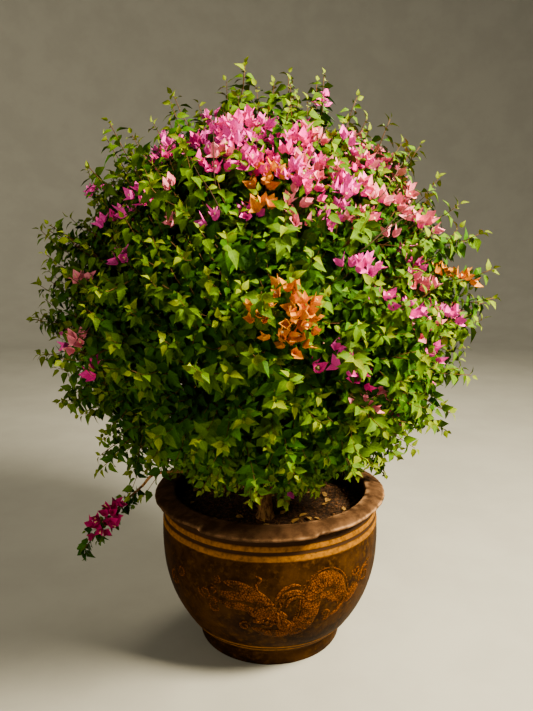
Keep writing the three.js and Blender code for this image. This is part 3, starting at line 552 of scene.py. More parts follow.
def crown_reach(ways):
    """How far the dense crown reaches each way: a sphere that swells downwards and to the left, slopes off
    at the shoulders, and has lobes of five and of three round it."""
    z = np.clip(ways[..., 2], -1, 1)
    elevation, azimuth = np.arcsin(z), np.arctan2(ways[..., 1], ways[..., 0])
    five = np.sin(5 * azimuth + 4 * z) * np.cos(4 * elevation + 1.3)
    three = np.sin(3 * azimuth - 5 * z)
    shoulder = SHOULDER_SLOPE * np.maximum(0, np.sin(2 * elevation))
    lobes = LOBE_DEPTH * (five + three) * np.cos(elevation)
    return CROWN_RADIUS - LOW_SWELL * z - LEFT_SWELL * ways[..., 0] - shoulder + lobes


def clear_of_jar(points):
    """Whether points are over the rim, over the soil inside the mouth, or outside the rim."""
    radius = np.hypot(points[..., 0], points[..., 1])
    over_rim = points[..., 2] > RIM_HEIGHT + JAR_ROOM
    over_soil = (radius < MOUTH_RADIUS - JAR_ROOM) & (points[..., 2] > SOIL_HEIGHT + SOIL_MOUND + SOIL_ROOM)
    return over_rim | over_soil | (radius > RIM_RADIUS + JAR_ROOM)


def clear_of_trunk(points):
    """Whether points leave open the space before the trunk's foot, where the photograph shows it."""
    aside = np.abs(points[..., 0] - TRUNK_FOOT[0])
    before = (points[..., 1] < TRUNK_FOOT[1]) & (points[..., 2] < TRUNK_VIEW_TOP)
    return ~((aside < TRUNK_VIEW_HALF) & before)


def clear_of_mouth(points):
    """Whether points leave the view into the jar's mouth open: there the crown's underside rises to the
    front and the back, more beside the trunk than before it."""
    aside = np.abs(points[..., 0] - TRUNK_FOOT[0])
    share = np.clip(aside / MOUTH_VIEW_HALF, MOUTH_VIEW_SHARE, 1)
    low = MOUTH_VIEW_HEIGHT + MOUTH_VIEW_RISE * np.abs(points[..., 1]) * share
    outside = np.hypot(points[..., 0], points[..., 1]) > MOUTH_VIEW_RADIUS
    outside = outside | (aside > MOUTH_VIEW_WIDTH)
    return outside | (points[..., 2] > low)


def mass_list():
    """Name, ring, direction and heart of every foliage mass."""
    ways = [("top", "top", UP, TOP_HEART)]
    for ring, count, elevation, first, heart in RINGS:
        for k in range(count):
            ways.append((f"{ring}_{k + 1}", ring, direction(first + 360 / count * k, elevation), heart))
    return [
        {"name": name, "ring": ring, "way": way, "heart": CROWN_CENTRE + way * crown_reach(way) * heart}
        for name, ring, way, heart in ways
    ]


def inside_cell(mass, masses, point, room):
    """Whether a point keeps room to the flat walls halfway between a mass and its neighbours."""
    arm = point - CROWN_CENTRE
    walls = [unit(mass["way"] - other["way"]) for other in masses if other is not mass]
    return all(arm @ wall > room for wall in walls)


def entry(mass, masses, root):
    """The way in which a bough arrives, and its tip: short of the heart, but inside the mass's own space."""
    straight = unit(mass["heart"] - root)
    arriving = unit(straight + (mass["way"] - straight) * BOUGH_TURN_IN)
    stem = min(STEM_LENGTH, STEM_SHARE * np.linalg.norm(mass["heart"] - root))
    while stem > STEM_STEP and not inside_cell(mass, masses, mass["heart"] - arriving * stem, STEM_ROOM):
        stem -= STEM_STEP
    return arriving, mass["heart"] - arriving * stem


def rising_from(way, rise):
    """The level direction under another one, turned up by a rise for each step outwards."""
    return unit(unit(way * [1, 1, 0]) + UP * rise)


def trunk_controls():
    """The trunk's cubic curve: straight up from the soil, then leaning to its fork."""
    return np.array(
        [TRUNK_FOOT, TRUNK_FOOT + [0, 0, 0.060], TRUNK_FORK + [0.004, -0.008, -0.050], TRUNK_FORK]
    )


@lru_cache(maxsize=None)
def skeleton():
    """The masses, and the control points and root radius of the bough that enters each of them."""
    masses = mass_list()
    trunk = trunk_controls()

    def add_bough(mass, root, leaving, radius):
        arriving, tip = entry(mass, masses, root)
        reach = np.linalg.norm(tip - root) * BOUGH_SWEEP
        mass["arriving"] = arriving
        mass["controls"] = np.array([root, root + leaving * reach, tip - arriving * reach, tip])
        mass["radius"] = radius

    add_bough(masses[0], TRUNK_FORK, unit(trunk[3] - trunk[2]), LEADER_ROOT_RADIUS)
    for ring in ("upper", "lower", "skirt"):
        share, rise, radius = FORKS[ring]
        for mass in masses:
            if mass["ring"] == ring:
                add_bough(mass, bezier(trunk, [share])[0], rising_from(mass["way"], rise), radius)
    share, rise, radius = FORKS["middle"]
    forks = [bezier(mass["controls"], [share])[0] for mass in masses if mass["ring"] == "upper"]
    for mass in masses:
        if mass["ring"] == "middle":
            root = min(forks, key=lambda fork: np.linalg.norm(fork - mass["heart"]))
            add_bough(mass, root, rising_from(mass["way"], rise), radius)
    return masses


def golden_ways(count, shift):
    """Directions spread evenly over a sphere: equal steps down in z, each turned on by the golden angle."""
    k = np.arange(count) + 0.5
    z = 1 - 2 * k / count
    flat = np.sqrt(1 - z * z)
    turn = k * GOLDEN_ANGLE + shift
    return round_axis(turn, flat, z)


def mass_of(points):
    """The index of the mass in whose space each point lies: the one whose direction is nearest."""
    ways = np.array([mass["way"] for mass in skeleton()])
    return np.argmax(unit(points - CROWN_CENTRE) @ ways.T, axis=1)


def grow(parents, tips, shares, sweep, rise):
    """Limbs from a point on the parent with the nearest tip in the same mass to their own tips. Each leaves
    along its parent and bends outwards and, over the crown's lower side less, upwards, as a cubic curve."""
    parent_mass, mass = mass_of(parents[:, 3]), mass_of(tips)
    gap = np.linalg.norm(tips[:, None] - parents[None, :, 3], axis=2)
    gap += np.where(mass[:, None] == parent_mass[None], 0, 10)
    nearest = np.argmin(gap, axis=1)
    chosen = parents[nearest]
    roots = curve_at(chosen, shares)
    leaving = unit(chosen[:, 3] - chosen[:, 1])
    length = np.linalg.norm(tips - roots, axis=1)[:, None]
    out = unit(tips - CROWN_CENTRE)
    outward = unit(out + UP * rise * smoothstep(out[:, 2:], -0.9, 0.1))
    return np.stack([roots, roots + leaving * length * sweep, tips - outward * length * sweep, tips], axis=1)


def curve_at(controls, shares):
    """One point on each cubic curve."""
    t = shares[:, None]
    a, b, c, d = (controls[:, k] for k in range(4))
    return a * (1 - t) ** 3 + b * 3 * t * (1 - t) ** 2 + c * 3 * t * t * (1 - t) + d * t**3


@lru_cache(maxsize=None)
def crown(outer, inner, standing):
    """Every branch, fork and leafy shoot of the crown, level by level: branches spread from the masses'
    hearts, forks from branches, and shoots from forks. Tips lie on golden-angle spreads."""
    random = np.random.default_rng(20417)
    low_corner = np.array(CAD_BOX[0]) + BOX_ROOM
    high_corner = np.array(CAD_BOX[1]) - BOX_ROOM

    def tips(count, shift, low, high, lumps=0.0, hollow=-9.0, power=1.0):
        """Tips in a shell from low to high shares of the crown's reach, moved by lumps of noise."""
        ways = unit(golden_ways(count, shift) + random.normal(0, 0.5 / count**0.5, (count, 3)))
        lump = value_noise(ways, 0.30, 61) + 0.5 * value_noise(ways, 0.15, 62)
        share = low + (high - low) * random.random(count) ** power + lumps * lump
        points = CROWN_CENTRE + ways * (crown_reach(ways) * share)[:, None]
        points = np.clip(points, low_corner, high_corner)
        clear = clear_of_jar(points) & clear_of_trunk(points) & clear_of_mouth(points)
        return points[clear & (lump > hollow)]

    def level(parents, points, low, high, rise=0.3):
        """Limbs to the points, from places between low and high shares of their parents."""
        shares = low + (high - low) * random.random(len(points))
        return grow(parents, points, shares, sweep=0.36, rise=rise)

    hearts = np.array([mass["heart"] for mass in skeleton()])
    feet = np.array([mass["controls"][3] for mass in skeleton()])
    stems = feet[:, None] + (hearts - feet)[:, None] * np.linspace(0, 1, 4)[:, None]
    branches = level(stems, tips(BRANCHES, 0.0, low=0.60, high=0.72), low=0.45, high=1.0)
    forks = level(branches, tips(SIDE_FORKS, 1.0, low=0.74, high=0.86), low=0.4, high=1.0)
    outer_tips = tips(outer, 2.0, low=0.88, high=0.985, lumps=0.045, hollow=-0.85)
    inner_tips = tips(inner, 3.0, low=0.68, high=0.91)
    standing_tips = tips(standing, 4.0, low=0.96, high=1.14, lumps=0.02, hollow=-0.75, power=1.5)
    azimuth, elevation, reach = np.array(LONG_SHOOTS, float).T
    long_tips = CROWN_CENTRE + direction(azimuth, elevation) * (reach - LONG_SHOOT_LEAF_ROOM)[:, None]
    return {
        "stems": stems,
        "branches": branches,
        "forks": forks,
        "outer": level(forks, outer_tips, low=0.3, high=0.9, rise=0.9),
        "inner": level(forks, inner_tips, low=0.1, high=0.7, rise=0.6),
        "standing": level(forks, standing_tips, low=0.3, high=0.9, rise=1.1),
        "long": level(branches, long_tips, low=0.6, high=0.9, rise=0.5),
    }


def grown_crown(settings):
    """The crown for the present settings."""
    return crown(settings.outer_shoots, settings.inner_shoots, settings.standing_shoots)


def trailing_bough(t):
    """The long thin bough from the trunk over the rim."""
    root = bezier(trunk_controls(), [TRAILING_FORK_SHARE])[0]
    return through_points([root, *TRAILING_WAY, TRAILING_START], t)


def trailing_spray(t):
    """The trailing twig from the bough's end to its drooping tip."""
    middle = (TRAILING_START + TRAILING_TIP) / 2 + UP * TRAILING_ARCH
    return through_points([TRAILING_START, middle, TRAILING_TIP], t)


def blade_outline():
    """For each point of a blade: its share along the blade, and its place across as a share of the width."""
    along = np.concatenate([[0.0], np.repeat(BLADE_STATIONS, 3), [1.0]])
    aside = np.concatenate([[0.0], np.outer(BLADE_HALVES, [-1, 0, 1]).ravel(), [0.0]])
    return along, aside


def blade_places(points):
    """The two attributes that the vein pattern reads, for a mesh of whole blades."""
    along, aside = blade_outline()
    count = len(points) // BLADE_POINTS
    return {"along": np.tile(along, count), "aside": np.tile(aside, count)}


def blades(roots, ways, faces, lengths, widths, fold, droop, curl):
    """Leaves or bracts of twelve triangles: an ovate outline with a drawn-out tip, folded up along the
    midrib and drooping towards the tip by the square of the share along it."""
    across = unit(np.cross(faces, ways))
    normal = unit(np.cross(ways, across))
    along, aside = blade_outline()
    sag = -droop[:, None] * along**2
    lift = fold[:, None] * np.abs(aside) + curl[:, None] * aside * along
    points = roots[:, None] + ways[:, None] * (along * lengths[:, None])[..., None]
    points = points + across[:, None] * (aside * widths[:, None])[..., None]
    points = points + normal[:, None] * (sag * lengths[:, None] + lift * widths[:, None])[..., None]
    tip = len(along) - 1
    one = [(0, 2, 1), (0, 3, 2), (tip, tip - 3, tip - 2), (tip, tip - 2, tip - 1)]
    for left in range(1, tip - 3, 3):
        mid, right = left + 1, left + 2
        one += [(left, mid, mid + 3), (left, mid + 3, left + 3)]
        one += [(mid, right, right + 3), (mid, right + 3, mid + 3)]
    return points.reshape(-1, 3), copies(one, len(roots), len(along))


def leaves_on(controls, count, pitch, length, width, random, habit):
    """Leaves along the last part of each shoot, from its tip back, turned on by the golden angle. The first
    few are young: shorter and less spread. Returns blade arrays of shape (shoots, count, ...)."""
    shrink, scatter, sag, facing = habit
    shape = (len(controls), count)
    reach = np.linalg.norm(controls[:, 3] - controls[:, 0], axis=1)
    index = np.arange(count)
    share = 1 - np.minimum(index * pitch / np.maximum(reach, 0.02)[:, None], 0.9)
    at = np.stack([curve_at(controls, share[:, i]) for i in index], axis=1)
    near = np.stack([curve_at(controls, np.maximum(share[:, i] - 0.08, 0)) for i in index], axis=1)
    along = unit(at - near + 1e-9)
    turn = index * GOLDEN_ANGLE + random.random((len(controls), 1)) * 2 * pi + random.normal(0, 0.3, shape)
    spread = np.interp(index, *LEAF_SPREADS) + random.normal(0, 0.15, shape)
    hang = sag * np.minimum(index / 3, 1)[:, None] + 0.12 * random.normal(size=(*shape, 1))
    out = unit(at - CROWN_CENTRE)
    ways = unit(leaning(along, spread, turn) - UP * hang + out * 0.25)
    level = unit(out * [1, 1, 0] + 1e-9) * smoothstep(out[..., 2:], 0.2, 0.8)
    faces = along * 0.55 + out * 0.45 + UP * 0.6 + level * facing
    faces = unit(faces + random.normal(0, scatter, (*shape, 3)))
    grown = np.ones(count)
    grown[: len(shrink)] = shrink
    lengths = length * grown * (0.82 + 0.36 * random.random(shape))
    return {
        "roots": at + ways * LEAF_STALK,
        "ways": ways,
        "faces": faces,
        "lengths": lengths,
        "widths": lengths * width,
        "index": np.broadcast_to(index, shape),
    }


def flattened(parts):
    """The blade arrays of several kinds of shoot as one list of blades."""

    def one_list(key):
        return np.concatenate([part[key].reshape(-1, *part[key].shape[2:]) for part in parts])

    return {key: one_list(key) for key in parts[0]}


def blade_mesh(part, random, fold, droop):
    """A list of blades as points, triangles and each triangle's colour number. Blades that would touch the
    jar, or hang into the views to the trunk and into the mouth, are left out."""
    roots = part["roots"]
    tips = roots + part["ways"] * part["lengths"][:, None]
    keep = clear_of_jar(tips) & clear_of_jar(roots) & clear_of_jar(tips - UP * JAR_ROOM)
    keep = keep & clear_of_trunk(tips) & clear_of_trunk(roots)
    keep = keep & clear_of_mouth(tips + UP * MOUTH_VIEW_SLACK)
    kept = [part[key][keep] for key in ("roots", "ways", "faces", "lengths", "widths")]
    count = int(keep.sum())
    points, triangles = blades(
        *kept,
        fold * (0.7 + 0.6 * random.random(count)),
        droop * (0.5 + random.random(count)),
        random.normal(0, 0.10, count),
    )
    return points, triangles, np.repeat(part["colour"][keep], BLADE_TRIANGLES)


def bloom_kind(tips, random):
    """The colour index of each shoot's blossom, or -1: a shoot within a patch flowers by the patch's share,
    which fades to nothing at the patch's edge. In a wide patch the flowers stand in groups, where a noise
    is high."""
    ways = unit(tips - CROWN_CENTRE)
    kinds = np.full(len(tips), -1)
    kinds[random.random(len(tips)) < STRAY_BLOOM] = BRACT_COLOURS.index("pink")
    grouped = smoothstep(value_noise(ways, GROUP_CELL, 71), *GROUP_EDGES)
    for azimuth, elevation, half_width, share, name in BLOOM_PATCHES:
        angle = np.degrees(np.arccos(np.clip(ways @ direction(azimuth, elevation), -1, 1)))
        chance = share * (1 - smoothstep(angle, half_width * 0.6, half_width * 1.15))
        chance = chance * (grouped if half_width > GROUPED_WIDTH else 1)
        kinds[random.random(len(tips)) < chance] = BRACT_COLOURS.index(name)
    return kinds


def new_object(name, points, triangles, materials, numbers=None, attributes=None):
    """A mesh object at the origin from arrays of points and triangles, with one material number for each
    triangle and a value for each point under each attribute's name."""
    mesh = bpy.data.meshes.new(name)
    triangles = np.ascontiguousarray(triangles, dtype=np.int32)
    mesh.vertices.add(len(points))
    mesh.vertices.foreach_set("co", np.ascontiguousarray(points, dtype=np.float32).ravel())
    mesh.loops.add(triangles.size)
    mesh.loops.foreach_set("vertex_index", triangles.ravel())
    mesh.polygons.add(len(triangles))
    mesh.polygons.foreach_set("loop_start", np.arange(0, triangles.size, 3, dtype=np.int32))
    for material in materials:
        mesh.materials.append(material)
    if numbers is not None:
        mesh.polygons.foreach_set("material_index", np.ascontiguousarray(numbers, dtype=np.int32))
    mesh.polygons.foreach_set("use_smooth", np.ones(len(triangles), dtype=bool))
    for key, values in (attributes or {}).items():
        layer = mesh.attributes.new(key, "FLOAT", "POINT")
        layer.data.foreach_set("value", np.ascontiguousarray(values, dtype=np.float32))
    mesh.update(calc_edges=True)
    mesh.validate()
    made = bpy.data.objects.new(name, mesh)
    bpy.context.scene.collection.objects.link(made)
    return made


def new_piece(name, points, triangles, materials, slot, replaced=(), **details):
    """A mesh object that rides on the plant's one body and stands for the nodes that it replaces."""
    if len(triangles) >= MOST_TRIANGLES:
        raise RuntimeError(f"{name} has {len(triangles)} triangles: split it")
    piece = new_object(name, points, triangles, materials, **details)
    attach(piece, BODY)
    if replaced:
        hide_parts(*replaced)


def add_node(tree, kind, inputs=None, **settings):
    """A shader node with its settings, and its inputs set to values or linked to sockets."""
    node = tree.nodes.new(kind)
    for key, value in settings.items():
        setattr(node, key, value)
    for key, value in (inputs or {}).items():
        if isinstance(value, bpy.types.NodeSocket):
            tree.links.new(value, node.inputs[key])
        else:
            node.inputs[key].default_value = value
    return node


def map_range(tree, value, low, high, first, last, kind="SMOOTHSTEP"):
    """A value carried from one range to another, smoothly unless told otherwise."""
    given = {"Value": value, "From Min": low, "From Max": high, "To Min": first, "To Max": last}
    return add_node(tree, "ShaderNodeMapRange", given, interpolation_type=kind).outputs["Result"]


def colour_mix(tree, factor, first, second):
    """Two colours mixed by a mask."""
    node = add_node(tree, "ShaderNodeMix", {"Factor": factor, 6: first, 7: second}, data_type="RGBA")
    return node.outputs[2]


def worked_out(tree, operation, *values):
    """The result of one operation of arithmetic on values or sockets."""
    return add_node(tree, "ShaderNodeMath", dict(enumerate(values)), operation=operation).outputs[0]


def on_mesh(tree, name):
    """A value that the mesh carries for each point."""
    return add_node(tree, "ShaderNodeAttribute", attribute_name=name).outputs["Fac"]


def noise(tree, given, detail, roughness):
    """Fractal noise at a group's own Vector and Scale."""
    inputs = {"Vector": given["Vector"], "Scale": given["Scale"], "Detail": detail, "Roughness": roughness}
    return add_node(tree, "ShaderNodeTexNoise", inputs).outputs["Fac"]


def from_group(tree, name, fill, outputs, **inputs):
    """The outputs of a node group placed with its own values. The group is made on its first use: it has an
    input for each value, of its kind, and fill adds its nodes and gives the sockets of its outputs."""
    if name not in bpy.data.node_groups:
        group = bpy.data.node_groups.new(name, "ShaderNodeTree")
        for label, value in inputs.items():
            kind = SOCKETS[getattr(value, "type", type(value))]
            group.interface.new_socket(name=label, in_out="INPUT", socket_type=kind)
        for label, kind in outputs.items():
            group.interface.new_socket(name=label, in_out="OUTPUT", socket_type=kind)
        given, made = group.nodes.new("NodeGroupInput"), group.nodes.new("NodeGroupOutput")
        for label, socket in zip(outputs, fill(group, given.outputs)):
            group.links.new(socket, made.inputs[label])
    return add_node(tree, "ShaderNodeGroup", inputs, node_tree=bpy.data.node_groups[name]).outputs


def mottle_nodes(tree, given):
    """Noise of a scale, sharpened about its middle, mixes two colours."""
    mask = map_range(tree, noise(tree, given, 6.0, 0.6), given["Low"], given["High"], 0.0, 1.0)
    return colour_mix(tree, mask, given["First"], given["Second"]), mask


def mottle(tree, place, scale, first, second, low=0.35, high=0.65):
    """Two colours mixed in soft clouds, and the clouds' mask."""
    inputs = {"Vector": place, "Scale": scale, "Low": low, "High": high, "First": first, "Second": second}
    return from_group(tree, "Mottle", mottle_nodes, COLOUR_AND_MASK, **inputs)


def grain_nodes(tree, given):
    """Fine noise as a bump."""
    height = noise(tree, given, 4.0, 0.55)
    inputs = {"Strength": given["Strength"], "Distance": given["Distance"], "Height": height}
    return add_node(tree, "ShaderNodeBump", inputs).outputs["Normal"], height


def finish(tree, shader, base, place, scale, strength, depth=0.001):
    """Gives a shader its base colour and a normal roughened by fine noise, for pitted glaze, bark, soil
    and leaf skin."""
    inputs = {"Vector": place, "Scale": scale, "Strength": strength, "Distance": depth}
    outputs = {"Normal": "NodeSocketVector", "Height": "NodeSocketFloat"}
    grain = from_group(tree, "Fine grain", grain_nodes, outputs, **inputs)
    tree.links.new(base, shader.inputs["Base Color"])
    tree.links.new(grain["Normal"], shader.inputs["Normal"])


def start_material(name, roughness, specular=0.22):
    """An empty material: its tree, its Principled shader and its object coordinates."""
    material = bpy.data.materials.new(name)
    material.use_nodes = True
    tree = material.node_tree
    tree.nodes.clear()
    given = {"Roughness": roughness, "Specular IOR Level": specular}
    shader = add_node(tree, "ShaderNodeBsdfPrincipled", given)
    add_node(tree, "ShaderNodeOutputMaterial", {"Surface": shader.outputs["BSDF"]})
    place = add_node(tree, "ShaderNodeTexCoord").outputs["Object"]
    return material, tree, shader, place


def opaque(rgb, factor=1.0):
    """A colour with full alpha, as sockets take it, made lighter or darker by a factor."""
    return (*(min(1.0, value * factor) for value in rgb), 1.0)


def plain_material(name, rgb, roughness, contrast, strength=0.25):
    """A small mottle about one colour, with a fine grain: twigs, crumbs, dry leaves and tube flowers."""
    material, tree, shader, place = start_material(name, roughness)
    clouds = mottle(tree, place, 55.0, opaque(rgb, 1 - contrast), opaque(rgb, 1 + contrast))
    finish(tree, shader, clouds["Color"], place, 260.0, strength)
    return material


def vein_nodes(tree, given):
    """A midrib where the place across is near nothing, and side veins that run forward from it, drawn where
    a wave of (share along less half the place across) is at its crest."""
    side = worked_out(tree, "ABSOLUTE", given["Aside"])
    rib = map_range(tree, side, 0.0, 0.05, 1.0, 0.0)
    place = worked_out(tree, "SUBTRACT", given["Along"], worked_out(tree, "MULTIPLY", side, 0.55))
    crest = worked_out(tree, "PINGPONG", worked_out(tree, "MULTIPLY", place, given["Count"]), 0.5)
    veins = worked_out(tree, "MAXIMUM", rib, map_range(tree, crest, 0.36, 0.5, 0.0, 0.6))
    return colour_mix(tree, veins, given["Blade"], given["Vein"]), veins


def blade_material(name, rgb, vein_factor, roughness, contrast):
    """A leaf or bract: a small mottle about one colour, its veins lighter or darker by a factor."""
    material, tree, shader, place = start_material(name, roughness, 0.03)
    clouds = mottle(tree, place, 55.0, opaque(rgb, 1 - contrast), opaque(rgb, 1 + contrast))
    inputs = {"Along": on_mesh(tree, "along"), "Aside": on_mesh(tree, "aside"), "Count": 5.0}
    inputs.update({"Blade": clouds["Color"], "Vein": opaque(rgb, vein_factor)})
    veins = from_group(tree, "Blade veins", vein_nodes, COLOUR_AND_MASK, **inputs)
    finish(tree, shader, veins["Color"], place, 260.0, 0.25)
    return material


def blade_materials(settings, names, kind, *look):
    """A material for each of the settings' colours in a list."""
    return [blade_material(name.replace("_", " ") + kind, getattr(settings, name), *look) for name in names]


def glaze_material(settings):
    """Dark brown glaze in clouds, with amber on the bands and rings, a dark line between them, painted shade
    under the lip, and a duller lip whose edges are lighter from rubbed wear and painted highlights. The mesh
    carries how much amber, dark and lip each point has, and where its edges are rubbed or highlit."""
    material, tree, shader, place = start_material("brown glaze", 0.55, 0.02)
    bright, lip_colour = settings.amber, settings.lip
    body = mottle(tree, place, 14.0, opaque(settings.umber), opaque(settings.brown), 0.36, 0.68)
    rust = mottle(tree, place, 70.0, body["Color"], opaque(bright, 0.27), 0.48, 0.74)
    amber = mottle(tree, place, 90.0, opaque(bright, 0.52), opaque(bright, 1.15), 0.30, 0.66)
    lip = mottle(tree, place, 30.0, opaque(lip_colour, 0.46), opaque(lip_colour), 0.34, 0.7)
    on_lip = on_mesh(tree, "lip")
    # The lip's lighter edges in patches: rubbed wear and painted highlights
    flaking_and_highlight = worked_out(tree, "MULTIPLY", on_mesh(tree, "rubbed"), lip["Mask"])
    base = colour_mix(tree, on_mesh(tree, "amber"), rust["Color"], amber["Color"])
    # Darker on the glaze line between the bands, and on a line of painted shade under the lip
    base = colour_mix(tree, on_mesh(tree, "dark"), base, opaque(lip_colour, 0.42))
    base = colour_mix(tree, on_lip, base, lip["Color"])
    base = colour_mix(tree, flaking_and_highlight, base, opaque(settings.lip_worn_and_highlit))
    rough = map_range(tree, on_lip, 0.0, 1.0, 0.55, 0.78, "LINEAR")
    tree.links.new(rough, shader.inputs["Roughness"])
    finish(tree, shader, base, place, 210.0, 0.55)
    return material


def jar_profile():
    """The jar's wall as radius and height, from the middle of its foot up the outside, over the lip and down
    the inside, with how much lip each point has, and how much its edge is lightened by rubbed wear and
    painted highlight."""
    edge_top = RIM_HEIGHT - RIM_EDGE_DROP
    lip_under = edge_top - RIM_EDGE_THICKNESS
    foot_top = (FOOT_RADIUS + 0.008, FOOT_BAND_HEIGHT + 0.006)
    neck = [(NECK_RADIUS + 0.004, 0.388), (NECK_RADIUS, lip_under - 0.008)]
    belly = through_points([foot_top, *BELLY_LINE, *neck], np.linspace(0, 1, BELLY_STEPS))
    # Radius past the foot's and height
    foot = [(-0.006, 0.0), (-0.002, 0.0012), (0.0, 0.005), (0.002, 0.018), (0.003, FOOT_BAND_HEIGHT - 0.008)]
    foot += [(0.002, FOOT_BAND_HEIGHT), (0.004, FOOT_BAND_HEIGHT + 0.003)]
    # Radius past the neck's, the rim's or the mouth's, height past the lip's underside, its edge or its top,
    # how much lip, and how much rubbed wear and painted highlight along the edges
    under = [(0.003, -0.003, 0.3, 0.0), (0.010, 0.0, 0.8, 0.0)]
    edge = [(-0.014, 0.0005, 1.0, 0.0), (-0.006, 0.0020, 1.0, 0.0), (-0.002, 0.0040, 1.0, 0.1)]
    edge += [(0.0, 0.0060, 1.0, 0.2)]
    top = [(0.0, -0.0020, 1.0, 0.4), (-0.001, -0.0005, 1.0, 0.8), (-0.003, 0.0008, 1.0, 0.5)]
    top += [(-0.006, 0.0022, 1.0, 0.1), (-0.012, 0.0046, 1.0, 0.05), (-0.020, 0.0074, 1.0, 0.05)]
    top += [(-0.028, 0.0096, 1.0, 0.05), (-0.036, 0.0113, 1.0, 0.05), (-0.044, 0.0124, 1.0, 0.15)]
    mouth = [(0.009, -0.0002, 1.0, 0.4), (0.004, -0.0015, 1.0, 0.7), (0.001, -0.004, 1.0, 0.5)]
    mouth += [(0.0, -0.008, 0.7, 0.2), (0.001, -0.018, 0.3, 0.0), (0.002, -0.026, 0.2, 0.0)]
    lip = [(NECK_RADIUS + r, lip_under + z, *more) for r, z, *more in under]
    lip += [(RIM_RADIUS + r, lip_under + z, *more) for r, z, *more in edge]
    lip += [(RIM_RADIUS + r, edge_top + z, *more) for r, z, *more in top]
    lip += [(MOUTH_RADIUS + r, RIM_HEIGHT + z, *more) for r, z, *more in mouth]
    inner = [(min(r - POT_WALL, HOLLOW_RADIUS), z) for r, z in belly[12:-16:9]][::-1]
    floor = [(FOOT_RADIUS - POT_WALL, POT_FLOOR + 0.012), (FOOT_RADIUS - POT_WALL - 0.012, POT_FLOOR)]
    below = [(0.0, 0.0), (FOOT_RADIUS * 0.5, 0.0), *[(FOOT_RADIUS + r, z) for r, z in foot]]
    bare = [(r, z, 0.0, 0.0) for r, z in [*below, *belly]]
    dark = [(r, z, 0.2, 0.0) for r, z in [*inner, *floor, (0.1, POT_FLOOR), (0.0, POT_FLOOR)]]
    return np.array([*bare, *lip, *dark])


def rim_change(azimuth):
    """How far the rim's edge moves outwards: two slow waves, a smooth step at the end of each piece, less a
    bell-shaped dent at each chip, and fine nibbled unevenness."""
    wave = RIM_WAVE * (np.sin(3 * azimuth + 0.6) * 0.6 + np.sin(7 * azimuth + 2.1) * 0.4)
    degrees = np.degrees(azimuth)
    for (_, before), (start, after) in zip(RIM_PIECES, RIM_PIECES[1:]):
        wave = wave + (after - before) * smoothstep(degrees - start, -RIM_PIECE_BLEND, RIM_PIECE_BLEND)
    for place, spread, depth in RIM_CHIPS:
        wave = wave - depth * np.exp(-(((degrees - place) / spread) ** 2))
    circle = round_axis(azimuth, RIM_RADIUS, 0.0)
    return wave + 0.0011 * value_noise(circle, 0.018, 5) + 0.0007 * value_noise(circle, 0.007, 6)


def jar_radius(height):
    """The wall's outer radius at a height on the belly, with the bands and rings left out."""
    profile = jar_profile()[BELLY_ROWS]
    return np.interp(height, profile[:, 1], profile[:, 0])


def ring_share(height, rings):
    """A share from 0 to 1 that is high on painted bands and thin rings: a smooth step up and down."""
    rise = np.zeros_like(height)
    for middle, half in rings:
        rise = np.maximum(rise, 1 - smoothstep(np.abs(height - middle), half * 0.7, half * 1.25))
    return rise


def turned_faces(rows, columns):
    """Triangles of a closed form turned round from its foot, up its outside and in to its middle: rows of
    points one above the other, then the foot's middle and the last middle, with a fan round each."""
    here = np.arange(columns)
    after = (here + 1) % columns
    foot, last = rows * columns, (rows - 1) * columns
    under = np.stack([np.full(columns, foot), after, here], axis=-1)
    over = np.stack([np.full(columns, foot + 1), last + here, last + after], axis=-1)
    return np.vstack([wall_faces(rows, columns), under, over])


class BUSH_OT_jar(bpy.types.Operator):
    """Makes the glazed jar: its profile turned round, with waves, chips, bands and rings."""

    bl_idname = "bush.jar"
    bl_label = "Jar"

    def execute(self, context):
        settings = context.scene.jar_settings
        columns = settings.columns
        rows = jar_profile()[1:-1]
        radius, height, lip, rubbed = (np.repeat(rows[:, k, None], columns, axis=1) for k in range(4))
        turn = np.broadcast_to(np.arange(columns) * 2 * pi / columns - pi, radius.shape)
        outside = (np.arange(len(rows)) < OUTSIDE_ROWS)[:, None]
        bands = np.where(outside, ring_share(height, [*AMBER_BANDS, *FOOT_RINGS]), 0)
        # The dark glaze line between the bands, and the painted shade under the lip
        dark = np.where(outside, ring_share(height, DARK_BAND_AND_LIP_SHADE), 0)
        circle = round_axis(turn, 0.3, height * 0.9)
        uneven = settings.unevenness * value_noise(circle, 0.11, 3)
        belly = outside * smoothstep(height, 0.01, 0.05) * (1 - smoothstep(height, 0.405, RIM_START))
        outward = smoothstep(radius, NECK_RADIUS + 0.008, RIM_RADIUS) * (height > RIM_START)
        radius = radius + settings.ring_height * bands + uneven * belly + rim_change(turn) * outward
        height = height + RIM_SWAY * outward * np.sin(2 * turn + 0.9)
        wall = round_axis(turn, radius, height)
        points = np.vstack([wall.reshape(-1, 3), [[0, 0, 0]], [[0, 0, POT_FLOOR]]])
        # Rubbed wear is stronger at the chips; painted light and shade make the edges lighter towards the
        # right, where the key lamp falls, and darker to the left
        chips = np.clip(-rim_change(turn) / 0.006, 0, 1)
        rubbed = rubbed * (0.65 + 0.6 * chips) * (0.75 + 0.45 * np.cos(turn))
        # Painted highlights along the seams where the rim steps, with the cracks' worn glaze
        for place, spread in RIM_SEAM_HIGHLIGHTS:
            rubbed = rubbed + 1.2 * outward * np.exp(-(((np.degrees(turn) - place) / spread) ** 2))
        worn_band = value_noise(circle, 0.014, 9) * 0.25
        amber = np.clip(bands * 1.15 + worn_band * (bands > 0.1), 0, 1)
        values = {"amber": amber, "dark": dark, "lip": lip, "rubbed": rubbed}
        values = {key: np.append(value.ravel(), [0, 0]) for key, value in values.items()}
        faces = turned_faces(len(rows), columns)
        material = glaze_material(settings)
        new_piece("jar", points, faces, [material], "glaze", replaced=["pot"], attributes=values)
        return {"FINISHED"}


